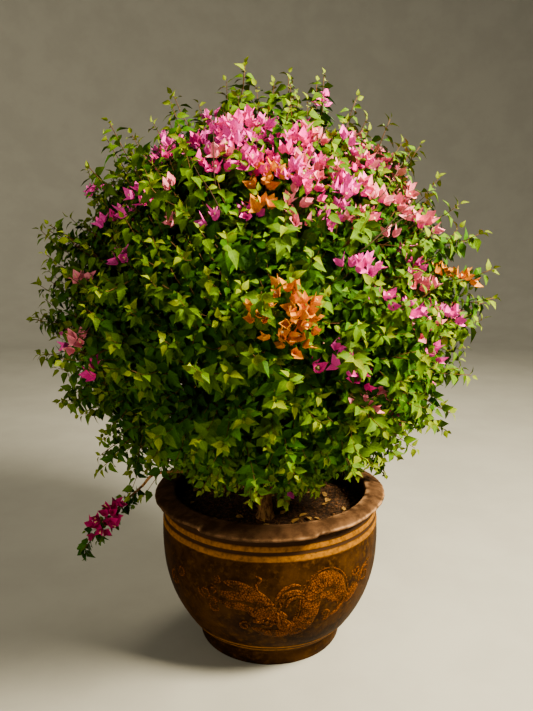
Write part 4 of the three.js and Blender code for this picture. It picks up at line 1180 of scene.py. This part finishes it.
def soil_height(x, y):
    """The mound under the trunk, and three sizes of noise away from it."""
    flat = 1 - smoothstep(np.hypot(x - TRUNK_FOOT[0], y - TRUNK_FOOT[1]), *MOUND_REACH)
    places = np.stack([x, y, 0 * x], axis=-1)
    rough = 0.0032 * value_noise(places, 0.040, 21) + 0.0022 * value_noise(places, 0.014, 22)
    fine = 0.0016 * value_noise(places, 0.006, 23)
    return SOIL_HEIGHT + SOIL_MOUND * flat + rough * (1 - 0.6 * flat) + fine


def on_soil(turn, radius):
    """Points on the soil's surface at angles and radii."""
    x, y, _ = np.moveaxis(round_axis(turn, radius, 0.0), -1, 0)
    return np.stack([x, y, soil_height(x, y)], axis=-1)


def spots_on_soil(random, count, reach):
    """Random places within a radius on the soil, spread evenly over its area."""
    radius = reach * np.sqrt(random.random(count))
    return on_soil(random.random(count) * 2 * pi, radius)


class BUSH_OT_soil(bpy.types.Operator):
    """Makes the soil: a rough disc inside the jar, with crumbs and a few fallen leaves on it."""

    bl_idname = "bush.soil"
    bl_label = "Soil"

    def execute(self, context):
        settings = context.scene.jar_settings
        edge = min(float(jar_radius(SOIL_HEIGHT)) - POT_WALL, HOLLOW_RADIUS) - SOIL_GAP
        turn = np.arange(SOIL_COLUMNS) * 2 * pi / SOIL_COLUMNS
        radius = np.linspace(0, 1, SOIL_RINGS + 1)[1:, None] ** 0.8 * edge
        base = POT_FLOOR + SOIL_BASE
        side = round_axis(turn, edge, SOIL_HEIGHT - SOIL_SIDE)
        under = round_axis(turn, FOOT_RADIUS - POT_WALL, base)
        middle = on_soil(np.zeros(1), 0.0)
        points = np.vstack([on_soil(turn, radius).reshape(-1, 3), side, under, middle, [[0, 0, base]]])
        faces = turned_faces(SOIL_RINGS + 2, SOIL_COLUMNS)[:, [0, 2, 1]]
        material, tree, shader, place = start_material("damp soil", 0.95)
        clods = mottle(tree, place, 90.0, opaque(settings.soil), opaque(settings.crumb), 0.42, 0.68)
        finish(tree, shader, clods["Color"], place, 240.0, 1.0, 0.003)
        new_piece("soil_bed", points, faces, [material], "soil", replaced=["soil"])
        self.crumbs(settings, edge)
        self.fallen_leaves(context.scene.plant_settings, edge)
        return {"FINISHED"}

    @staticmethod
    def crumbs(settings, edge):
        """Small lumps of soil: eight-faced stones squashed and turned at random."""
        random = np.random.default_rng(31)
        centre = spots_on_soil(random, CRUMBS, edge * 0.97)
        size = CRUMB_RADIUS + CRUMB_GROWTH * random.random(CRUMBS) ** 3
        centre = centre + UP * size[:, None] * 0.15
        axes = unit(random.normal(size=(CRUMBS, 3)))
        side = square_to(axes)
        other = np.cross(axes, side)
        corners = np.stack([axes, -axes, side, -side, other, -other], axis=1)
        stretch = 0.6 + 0.6 * random.random((CRUMBS, 6, 1))
        points = centre[:, None] + corners * size[:, None, None] * stretch
        one = [(0, 2, 4), (0, 4, 3), (0, 3, 5), (0, 5, 2), (1, 4, 2), (1, 3, 4), (1, 5, 3), (1, 2, 5)]
        material = plain_material("soil crumbs", settings.crumb, 0.95, 0.6, 0.8)
        new_piece("soil_crumbs", points.reshape(-1, 3), copies(one, CRUMBS, 6), [material], "soil")

    @staticmethod
    def fallen_leaves(settings, edge):
        """Dry leaves lying nearly flat on the soil."""
        random = np.random.default_rng(37)
        count = FALLEN_LEAVES
        roots = spots_on_soil(random, count, edge * 0.93) + UP * FALLEN_LEAF_RISE
        way = direction(random.random(count) * 360, random.normal(4, 5, count))
        faces = unit(UP + random.normal(0, 0.25, (count, 3)))
        lengths = FALLEN_LEAF_LENGTH + FALLEN_LEAF_GROWTH * random.random(count)
        inside = np.hypot(*(roots + way * lengths[:, None])[:, :2].T) < edge * 0.97
        chosen = [part[inside] for part in (roots, way, faces, lengths, lengths * 0.6)]
        kept = int(inside.sum())
        leaves = blades(*chosen, np.full(kept, 0.30), np.full(kept, 0.05), random.normal(0, 0.2, kept))
        material = plain_material("dry leaf", settings.leaf_dry, 0.7, 0.4)
        new_piece("fallen_leaves", *leaves, [material], "leaf")


def ribbon(centre, half_widths, rise, across=9):
    """A raised strip laid on the jar's belly. centre is (points, 2): arc round RELIEF_CIRCLE from the front,
    and height. Each cross-section is a flattened arch with its two edges sunk under the glaze: out
    from the wall by rise times (one less the square of the share across) to the power 0.35, and less where
    the strip is narrow."""
    centre = np.asarray(centre, float)
    tangent = unit(np.gradient(centre, axis=0))
    aside = np.stack([tangent[:, 1], -tangent[:, 0]], axis=-1)
    share = np.cos(np.linspace(0, pi, across))
    flat = centre[:, None] + aside[:, None] * (share[None] * half_widths[:, None])[..., None]
    arch = np.sqrt(np.clip(1 - share**2, 0, 1)) ** 0.7
    swell = np.clip(half_widths / max(half_widths.max(), 1e-6), 0.25, 1) ** 0.5
    out = rise * arch[None] * swell[:, None] - 0.0012
    back = flat[:, ::-1][:, 1:-1]
    plane = np.concatenate([flat, back], axis=1)
    lift = np.concatenate([out, np.full((len(centre), across - 2), -0.0016)], axis=1)
    azimuth = plane[..., 0] / RELIEF_CIRCLE - pi / 2
    radius = jar_radius(plane[..., 1]) + lift
    points = round_axis(azimuth, radius, plane[..., 1])
    return points.reshape(-1, 3), tube_faces(1, len(centre), 2 * across - 2)


def spiral(middle, start, end, turns, phase, count=40):
    """A curl: its radius falls evenly from start to end as it turns."""
    t = np.linspace(0, 1, count)
    angle = phase + turns * 2 * pi * t
    radius = start + (end - start) * t
    return np.stack([middle[0] + radius * np.cos(angle), middle[1] + radius * np.sin(angle)], axis=-1)


class BUSH_OT_dragon(bpy.types.Operator):
    """Makes the jar's low relief, a traditional dragon among clouds, on the front and again on the back."""

    bl_idname = "bush.dragon"
    bl_label = "Dragon relief"

    def execute(self, context):
        settings = context.scene.jar_settings
        strips = self.body(settings.relief) + self.around(settings.relief)
        both = [(points * [side, side, 1], faces) for side in (1, -1) for points, faces in strips]
        material, tree, shader, place = start_material("worn amber glaze", 0.6, 0.02)
        worn = mottle(tree, place, 48.0, opaque(settings.brown, 1.1), opaque(settings.rust), 0.34, 0.58)
        given = {"Vector": place, "Scale": 150.0}
        scales = add_node(tree, "ShaderNodeTexVoronoi", given, feature="DISTANCE_TO_EDGE")
        line = map_range(tree, scales.outputs["Distance"], 0.02, 0.16, 0.0, 1.0, "LINEAR")
        bump = add_node(tree, "ShaderNodeBump", {"Strength": 0.7, "Distance": 0.0015, "Height": line})
        lined = colour_mix(tree, line, opaque(settings.umber, 1.3), worn["Color"])
        tree.links.new(lined, shader.inputs["Base Color"])
        tree.links.new(bump.outputs["Normal"], shader.inputs["Normal"])
        new_piece("jar_dragon", *join(both), [material], "glaze")
        return {"FINISHED"}

    @staticmethod
    def body(rise):
        """The dragon's body as a strip, with the line of its fin, its spines and its ribs."""
        t = np.linspace(0, 1, DRAGON_STEPS)
        line = through_points(DRAGON_LINE, t)
        width = np.interp(t, *np.transpose(DRAGON_WIDTHS))
        made = [ribbon(line, width, rise)]
        tangent = unit(np.gradient(line, axis=0))
        back = np.stack([-tangent[:, 1], tangent[:, 0]], axis=-1)
        fin = (line + back * (width + 0.0050)[:, None])[12:90]
        made.append(ribbon(fin, np.full(len(fin), FIN_HALF), rise * 0.7, 5))
        for i in range(10, 98, 2):
            foot = line[i] + back[i] * (width[i] + 0.004)
            spine = foot + np.outer(SHORT, back[i] * SPINE_LENGTH) - np.outer(SHORT**2, tangent[i] * 0.006)
            made.append(ribbon(spine, SPINE_HALF * POINTED, rise * 0.6, 5))
        for i in range(14, 80, 4):
            rib = line[i] + np.outer(np.linspace(-0.85, 0.85, 9), back[i] * width[i])
            rib = rib - np.outer(1 - np.linspace(-1, 1, 9) ** 2, tangent[i] * 0.008)
            made.append(ribbon(rib, RIB_HALF * np.sin(np.linspace(0.3, pi - 0.3, 9)), rise * 1.5, 5))
        return made

    @staticmethod
    def around(rise):
        """The clouds and curls of mane, the head and the legs, the claws, and the studs on the neck."""
        made = []
        for curl in DRAGON_CURLS:
            line = spiral(*curl)
            fade = np.interp(np.linspace(0, 1, len(line)), [0, 0.15, 0.9, 1], [0.1, 1, 0.7, 0.2])
            made.append(ribbon(line, CURL_HALF * fade, rise * 0.8, 5))
        t = np.linspace(0, 1, 26)
        swell = np.sin(pi * np.clip(t * 0.9 + 0.1, 0, 1)) ** 0.6 + 0.03
        for line, half in DRAGON_STROKES:
            made.append(ribbon(through_points(line, t), half * swell, rise))
        for middle, aim in DRAGON_PAWS:
            for turn in (-50, -16, 18, 52):
                way = np.array([np.cos(radians(aim + turn)), np.sin(radians(aim + turn))])
                bend = np.array([-way[1], way[0]]) * np.sign(turn)
                claw = middle + np.outer(SHORT, way * CLAW_LENGTH) - np.outer(SHORT**2, bend * 0.006)
                made.append(ribbon(claw, CLAW_HALF * POINTED, rise * 0.8, 5))
        random = np.random.default_rng(7)
        for _ in range(STUDS):
            spot = STUD_MIDDLE + random.normal(0, 1, 2) * STUD_SPREAD
            line = spot + np.outer(np.linspace(-1, 1, 7), [STUD_LENGTH, 0.0])
            dome = STUD_HALF * np.sqrt(np.clip(1 - np.linspace(-0.98, 0.98, 7) ** 2, 0.02, 1))
            made.append(ribbon(line, dome, rise * 2.1, 5))
        return made


class BUSH_OT_limbs(bpy.types.Operator):
    """Makes the trunk and boughs with their bark in relief."""

    bl_idname = "bush.limbs"
    bl_label = "Trunk and boughs"

    def execute(self, context):
        settings = context.scene.plant_settings
        material, tree, shader, place = start_material("bark", 0.85)
        given = {"Vector": place, "Scale": (1.0, 1.0, 0.35)}
        stretch = add_node(tree, "ShaderNodeMapping", given).outputs[0]
        cracks, bark = opaque(settings.bark_crack), opaque(settings.bark)
        furrows = mottle(tree, stretch, 120.0, cracks, bark, 0.36, 0.62)
        finish(tree, shader, furrows["Color"], stretch, 260.0, 0.7)
        depth = settings.bark_relief

        def ridges(points):
            stretched = points * [1, 1, 0.3]
            return depth * (value_noise(stretched, 0.006, 41) + 0.6 * value_noise(points, 0.012, 42))

        def small_ridges(points):
            return 0.35 * depth * value_noise(points * [1, 1, 0.5], 0.005, 43)

        t = np.linspace(0, 1, 80)
        height = t * (TRUNK_FORK[2] - TRUNK_FOOT[2])
        radius = TRUNK_RADIUS * (1 - 0.12 * t) + ROOT_FLARE * np.exp(-height / ROOT_FLARE_HEIGHT)
        points, triangles = tubes(bezier(trunk_controls(), t)[None], radius[None], 40, ridges)
        points[:, 2] = np.maximum(points[:, 2], TRUNK_FOOT[2])
        new_piece("trunk_bark", points, triangles, [material], "bark", replaced=["trunk"])
        masses = skeleton()
        t = np.linspace(0, 1, 34)
        lines = bezier(np.array([mass["controls"] for mass in masses]), t)
        radii = taper([mass["radius"] for mass in masses], BOUGH_TIP_RADIUS, t)
        boughs = tubes(lines, radii, 10, small_ridges)
        t = np.linspace(0, 1, 60)
        trailing = tubes(trailing_bough(t)[None], taper(TRAILING_RADII[:1], TRAILING_RADII[1], t), 10)
        names = [f"bough_{mass['name']}" for mass in masses] + ["bough_trailing"]
        new_piece("bough_bark", *join([boughs, trailing]), [material], "bark", replaced=names)
        return {"FINISHED"}


def even_tubes(controls, root, tip, rings, sides):
    """Limbs of one size along cubic curves."""
    t = np.linspace(0, 1, rings)
    return tubes(bezier(controls, t), taper(np.full(len(controls), root), tip, t), sides)


class BUSH_OT_twigs(bpy.types.Operator):
    """Makes every branch, fork and shoot of the crown, and the trailing twig."""

    bl_idname = "bush.twigs"
    bl_label = "Twigs"

    def execute(self, context):
        settings = context.scene.plant_settings
        grown = grown_crown(settings)
        thick = [even_tubes(grown[key], *size) for key, size in THICK_TWIGS.items()]
        thin = [even_tubes(grown[key], *size) for key, size in THIN_TWIGS.items()]
        t = np.linspace(0, 1, 24)
        thick.append(tubes(trailing_spray(t)[None], taper(TRAILING_RADII[1:2], TRAILING_RADII[2], t), 6))
        material = plain_material("twig", settings.twig, 0.7, 0.35)
        new_piece("twigs_thick", *join(thick), [material], "bark")
        new_piece("twigs_thin", *join(thin), [material], "bark")
        material = plain_material("bare twig", settings.bare_twig, 0.8, 0.3)
        new_piece("twigs_bare", *self.bare_twigs(), [material], "bark")
        return {"FINISHED"}

    @staticmethod
    def bare_twigs():
        """Thin twigs that climb out of the crown from one direction to another, waving a little."""
        ends = np.array(BARE_TWIGS, float)
        feet, tips = direction(ends[:, 0], ends[:, 1]), direction(ends[:, 2], ends[:, 3])
        t = np.linspace(0, 1, 7)
        share = t[None, :, None]
        ways = unit(feet[:, None] * (1 - share) + tips[:, None] * share)
        low, high = BARE_TWIG_REACH
        lines = CROWN_CENTRE + ways * crown_reach(ways)[..., None] * (low + (high - low) * share**0.5)
        lines = lines + 0.003 * np.sin(share * 9 + np.arange(len(lines))[:, None, None]) * UP
        return tubes(lines, taper(np.full(len(lines), BARE_TWIG_RADII[0]), BARE_TWIG_RADII[1], t), 5)


def leaf_parts(settings, key, random):
    """The leaves of one kind of shoot, each with its colour number, dealt out by shoot."""
    controls = grown_crown(settings)[key]
    count, pitch, habit = LEAF_KINDS[key]
    part = leaves_on(controls, count, pitch, settings.leaf_length, settings.leaf_width, random, habit)
    lively = random.random((len(controls), 1))
    index = part["index"]
    deep, middle, fresh, young = range(len(LEAF_COLOURS))
    if key == "inner":
        number = np.where(lively < DEEP_INSIDE, deep, middle) + 0 * index
    elif key == "outer":
        number = np.where(lively < DEEP_OUTSIDE, deep, np.where(lively < GROWN_OUTSIDE, middle, fresh))
        number = np.where(index < TIP_LEAVES, np.where(lively < FRESH_TIPS, fresh, young), number)
    else:
        number = np.where(lively < GROWN_IN_OPEN, middle, fresh)
        number = np.where(index < FRESH_IN_OPEN, fresh, number)
        number = np.where(index < YOUNG_IN_OPEN, young, number)
    part["colour"] = number
    part["mass"] = np.broadcast_to(mass_of(controls[:, 3])[:, None], index.shape)
    flowering = shoot_blooms(settings).get(key, np.full(len(controls), -1)) >= 0
    part["shown"] = ~(flowering[:, None] & (index < LEAVES_LOST.get(key, 0)))
    return part


class BUSH_OT_leaves(bpy.types.Operator):
    """Makes the leaves, joined ring by ring."""

    bl_idname = "bush.leaves"
    bl_label = "Leaves"

    def execute(self, context):
        settings = context.scene.plant_settings
        random = np.random.default_rng(503)
        leaves = flattened([leaf_parts(settings, key, random) for key in LEAF_KINDS])
        masses = skeleton()
        ring_of = np.array([mass["ring"] for mass in masses])
        materials = blade_materials(settings, LEAF_COLOURS, "", *LEAF_LOOK)
        for name, rings in LEAF_PIECES.items():
            chosen = leaves["shown"] & np.isin(ring_of[leaves["mass"]], rings)
            part = {key: value[chosen] for key, value in leaves.items()}
            replaced = [f"foliage_{mass['name']}" for mass in masses if mass["ring"] in rings]
            made = blade_mesh(part, random, *LEAF_BEND)
            blade_piece(f"leaves_{name}", made, materials, "leaf", replaced)
        self.trailing(settings, materials, random)
        return {"FINISHED"}

    @staticmethod
    def trailing(settings, materials, random):
        """The trailing spray's leaves: side shoots along its twig."""
        base = np.linspace(0.08, 1, TRAILING_SIDE_SHOOTS)
        starts = trailing_spray(base)
        ahead = trailing_spray(np.minimum(base + 0.03, 1.0))
        along = unit(ahead - starts + [-1e-6, 0, -1e-6])
        turn = np.arange(len(base)) * GOLDEN_ANGLE
        ways = unit(leaning(along, np.full(len(base), 0.9), turn) - UP * 0.2)
        tips = starts + ways * (0.022 + 0.022 * random.random(len(base)))[:, None]
        controls = np.stack([starts, starts + ways * 0.008, tips - ways * 0.006, tips], axis=1)
        length = settings.leaf_length * 0.92
        part = leaves_on(controls, 6, 0.007, length, settings.leaf_width, random, CROWN_HABIT)
        index = part["index"]
        deep, middle, fresh, _ = range(len(LEAF_COLOURS))
        number = np.where(random.random(index.shape) < DEEP_TRAILING, deep, middle)
        part["colour"] = np.where(index < TIP_LEAVES, fresh, number)
        made = blade_mesh(flattened([part]), random, *TRAILING_BEND)
        blade_piece("leaves_trailing", made, materials, "leaf", ["foliage_trailing"])
        twigs = even_tubes(controls, 0.0012, 0.0007, 4, 3)
        new_piece("twigs_trailing", *twigs, [bpy.data.materials["twig"]], "bark")


def blade_piece(name, made, materials, slot, replaced=()):
    """A piece of whole blades, with each point's place on its blade."""
    points, triangles, numbers = made
    places = blade_places(points)
    new_piece(name, points, triangles, materials, slot, replaced, numbers=numbers, attributes=places)


@lru_cache(maxsize=None)
def bloom_numbers(outer, inner, standing):
    """Which outer and standing shoots flower, and in which colour."""
    random = np.random.default_rng(77)
    grown = crown(outer, inner, standing)
    kinds = {key: bloom_kind(grown[key][:, 3], random) for key in ("outer", "standing")}
    singles = direction(*np.array(SINGLE_BLOOMS, float).T)
    nearest = np.argmax(unit(grown["outer"][:, 3] - CROWN_CENTRE) @ singles.T, axis=0)
    kinds["outer"][nearest] = BRACT_COLOURS.index("pink")
    kinds["standing"][random.random(len(kinds["standing"])) > STANDING_BLOOM] = -1
    return kinds


def shoot_blooms(settings):
    """The blossom numbers for the present settings."""
    return bloom_numbers(settings.outer_shoots, settings.inner_shoots, settings.standing_shoots)


class BUSH_OT_blossom(bpy.types.Operator):
    """Makes the blossom: clusters of flowers of three bracts each, some round a small cream tube."""

    bl_idname = "bush.blossom"
    bl_label = "Blossom"

    def execute(self, context):
        settings = context.scene.plant_settings
        random = np.random.default_rng(911)
        tips, axes, number = self.heads(settings, random)
        shape = (len(tips), FLOWERS)
        shade = random.random(len(tips))
        pink, deep, pale, orange, _ = range(len(BRACT_COLOURS))
        number = np.where((number == pink) & (shade < DEEP_SHARE), deep, number)
        number = np.where((number == pink) & (shade > 1 - PALE_SHARE), pale, number)
        number = np.where((number == pale) & (shade < PINK_SHARE), pink, number)
        count = np.where(number == orange, FLOWERS, random.integers(2, FLOWERS + 1, len(tips)))
        present = np.arange(FLOWERS) < count[:, None]
        turn = random.random((len(tips), 1)) * 2 * pi + np.arange(FLOWERS) * 2 * pi / (FLOWERS - 1)
        lean = np.where(np.arange(FLOWERS) == 0, *FLOWER_LEANS) + random.normal(0, 0.12, shape)
        axis = leaning(np.repeat(axes[:, None], FLOWERS, axis=1), lean, turn)
        reach = FLOWER_REACH + FLOWER_GROWTH * random.random((*shape, 1))
        centre = tips[:, None] + axis * reach - axes[:, None] * FLOWER_BACK
        bract_turn = np.arange(3) * 2 * pi / 3 + random.random((*shape, 1)) * 2 * pi
        around = np.repeat(axis[:, :, None], 3, axis=2)
        flare = BRACT_FLARE + random.normal(0, 0.16, bract_turn.shape)
        lengths = settings.bract_length * (0.78 + 0.38 * random.random(bract_turn.shape))
        part = {
            "roots": np.repeat(centre[:, :, None], 3, axis=2),
            "ways": leaning(around, flare, bract_turn),
            "faces": around,
            "lengths": lengths,
            "widths": lengths * BRACT_WIDTH,
            "colour": np.broadcast_to(number[:, None, None], lengths.shape),
        }
        part = flattened([{key: value[present] for key, value in part.items()}])
        materials = blade_materials(settings, BRACT_COLOURS, " bract", *BRACT_LOOK)
        blade_piece("blossom_bracts", blade_mesh(part, random, *BRACT_BEND), materials, "blossom")
        self.tube_flowers(settings, centre[present], axis[present], random)
        return {"FINISHED"}

    @staticmethod
    def heads(settings, random):
        """The tip, the axis and the colour number of each flowering shoot, the trailing spray's last."""
        grown, kinds = grown_crown(settings), shoot_blooms(settings)
        shoots = np.concatenate([grown[key][kinds[key] >= 0] for key in kinds])
        number = np.concatenate([kinds[key][kinds[key] >= 0] for key in kinds])
        tips = shoots[:, 3]
        axes = unit(unit(tips - shoots[:, 2]) * 0.4 + unit(tips - CROWN_CENTRE) * 0.5 + UP * 0.9)
        spots = trailing_spray(TRAILING_BLOOMS)
        aim = unit(np.array([-0.1, -0.75, 0.65]))
        trailing_axes = unit(aim + random.normal(0, 0.25, (len(spots), 3)))
        number = np.append(number, np.full(len(spots), BRACT_COLOURS.index("magenta")))
        return np.vstack([tips, spots + aim * 0.014]), np.vstack([axes, trailing_axes]), number

    @staticmethod
    def tube_flowers(settings, centres, axes, random):
        """Small tubes with a flat star of five points."""
        keep = (random.random(len(centres)) < TUBE_SHARE) & clear_of_jar(centres)
        centres, axes = centres[keep], axes[keep]
        count = len(centres)
        reach = TUBE_LENGTH + TUBE_GROWTH * random.random(count)
        lines = centres[:, None] + axes[:, None] * (np.linspace(0, 1, 3) * reach[:, None])[..., None]
        tube = tubes(lines, np.tile(TUBE_RADII, (count, 1)), 4)
        side = square_to(axes)
        other = np.cross(axes, side)
        step = np.arange(10)
        angle = (step * pi / 5)[:, None]
        size = np.where(step % 2 == 0, *STAR_RADII)[:, None]
        mouths = lines[:, -1:]
        rim = mouths + (side[:, None] * np.cos(angle) + other[:, None] * np.sin(angle)) * size
        star = np.concatenate([rim, mouths + axes[:, None] * 0.0006], axis=1)
        one = np.stack([np.full(10, 10), step, (step + 1) % 10], axis=-1)
        stars = (star.reshape(-1, 3), copies(one, count, 11))
        material = plain_material("cream flower", settings.cream, 0.6, 0.08)
        new_piece("blossom_tubes", *join([tube, stars]), [material], "blossom")


class BUSH_OT_stage(bpy.types.Operator):
    """Sets the stage: a plain pale floor, soft studio lights and the photograph's camera."""

    bl_idname = "bush.stage"
    bl_label = "Stage"

    def execute(self, context):
        scene = context.scene
        self.floor()
        for name, lamp in LAMPS.items():
            self.light(name, *lamp)
        world = bpy.data.worlds.new("studio")
        world.use_nodes = True
        background = world.node_tree.nodes["Background"]
        background.inputs["Color"].default_value = opaque(SKY_COLOUR)
        background.inputs["Strength"].default_value = SKY_STRENGTH
        scene.world = world
        lens = bpy.data.cameras.new("photo view")
        lens.lens, lens.sensor_width, lens.sensor_fit = CAMERA_FOCAL, CAMERA_SENSOR, "AUTO"
        camera = bpy.data.objects.new("photo view", lens)
        camera.location = CAMERA_PLACE
        camera.rotation_euler = (radians(90 - CAMERA_PITCH), 0, 0)
        scene.collection.objects.link(camera)
        scene.camera = camera
        return {"FINISHED"}

    @staticmethod
    def floor():
        """A disc whose edge curves up by a quarter circle into a round wall."""
        share = np.linspace(0, 1, FLOOR_STEPS) * pi / 2
        radius = FLOOR_RADIUS + FLOOR_CURVE * np.sin(share)
        radius = np.append(radius, radius[-1])[:, None]
        height = np.append(FLOOR_CURVE * (1 - np.cos(share)), WALL_HEIGHT)[:, None]
        turn = np.arange(FLOOR_COLUMNS) * 2 * pi / FLOOR_COLUMNS
        rings = round_axis(turn, radius, height)
        points = np.vstack([rings.reshape(-1, 3), [[0, 0, 0]]])
        # Turned inside out, and without the fan that would close the wall's top
        faces = turned_faces(len(rings), FLOOR_COLUMNS)[:-FLOOR_COLUMNS, [0, 2, 1]]
        material, tree, shader, place = start_material("pale floor", 0.9)
        clouds = mottle(tree, place, 3.0, opaque(colour(156, 156, 156)), opaque(colour(162, 162, 162)))
        tree.links.new(clouds["Color"], shader.inputs["Base Color"])
        new_object("floor", points, faces, [material])

    @staticmethod
    def light(name, place, target, size, power):
        """A square soft light that faces a point."""
        data = bpy.data.lights.new(name, "AREA")
        data.size, data.energy, data.color = size, power, LAMP_COLOUR
        lamp = bpy.data.objects.new(name, data)
        lamp.location = place
        x, y, z = np.array(target) - np.array(place)
        lamp.rotation_euler = (float(np.arctan2(np.hypot(x, y), -z)), 0, float(np.arctan2(y, x)) - pi / 2)
        bpy.context.scene.collection.objects.link(lamp)


class BUSH_PT_panel(bpy.types.Panel):
    """Lists the bush's pieces and their settings."""

    bl_label = "Bougainvillea bush"
    bl_idname = "BUSH_PT_panel"
    bl_space_type = "VIEW_3D"
    bl_region_type = "UI"
    bl_category = "Bougainvillea"

    def draw(self, context):
        layout = self.layout
        for operator in OPERATORS:
            layout.operator(operator.bl_idname)
        for settings in (context.scene.jar_settings, context.scene.plant_settings):
            box = layout.box()
            for key in type(settings).__annotations__:
                box.prop(settings, key)


OPERATORS = [
    BUSH_OT_stage,
    BUSH_OT_jar,
    BUSH_OT_dragon,
    BUSH_OT_soil,
    BUSH_OT_limbs,
    BUSH_OT_twigs,
    BUSH_OT_leaves,
    BUSH_OT_blossom,
]
CLASSES = [JarSettings, PlantSettings, *OPERATORS, BUSH_PT_panel]


def register():
    for item in CLASSES:
        bpy.utils.register_class(item)
    bpy.types.Scene.jar_settings = bpy.props.PointerProperty(type=JarSettings)
    bpy.types.Scene.plant_settings = bpy.props.PointerProperty(type=PlantSettings)


def unregister():
    del bpy.types.Scene.plant_settings
    del bpy.types.Scene.jar_settings
    for item in reversed(CLASSES):
        bpy.utils.unregister_class(item)


def main():
    """Registers the classes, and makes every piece."""
    register()
    for operator in OPERATORS:
        group, name = operator.bl_idname.split(".")
        getattr(getattr(bpy.ops, group), name)()


if __name__ == "__main__":
    main()
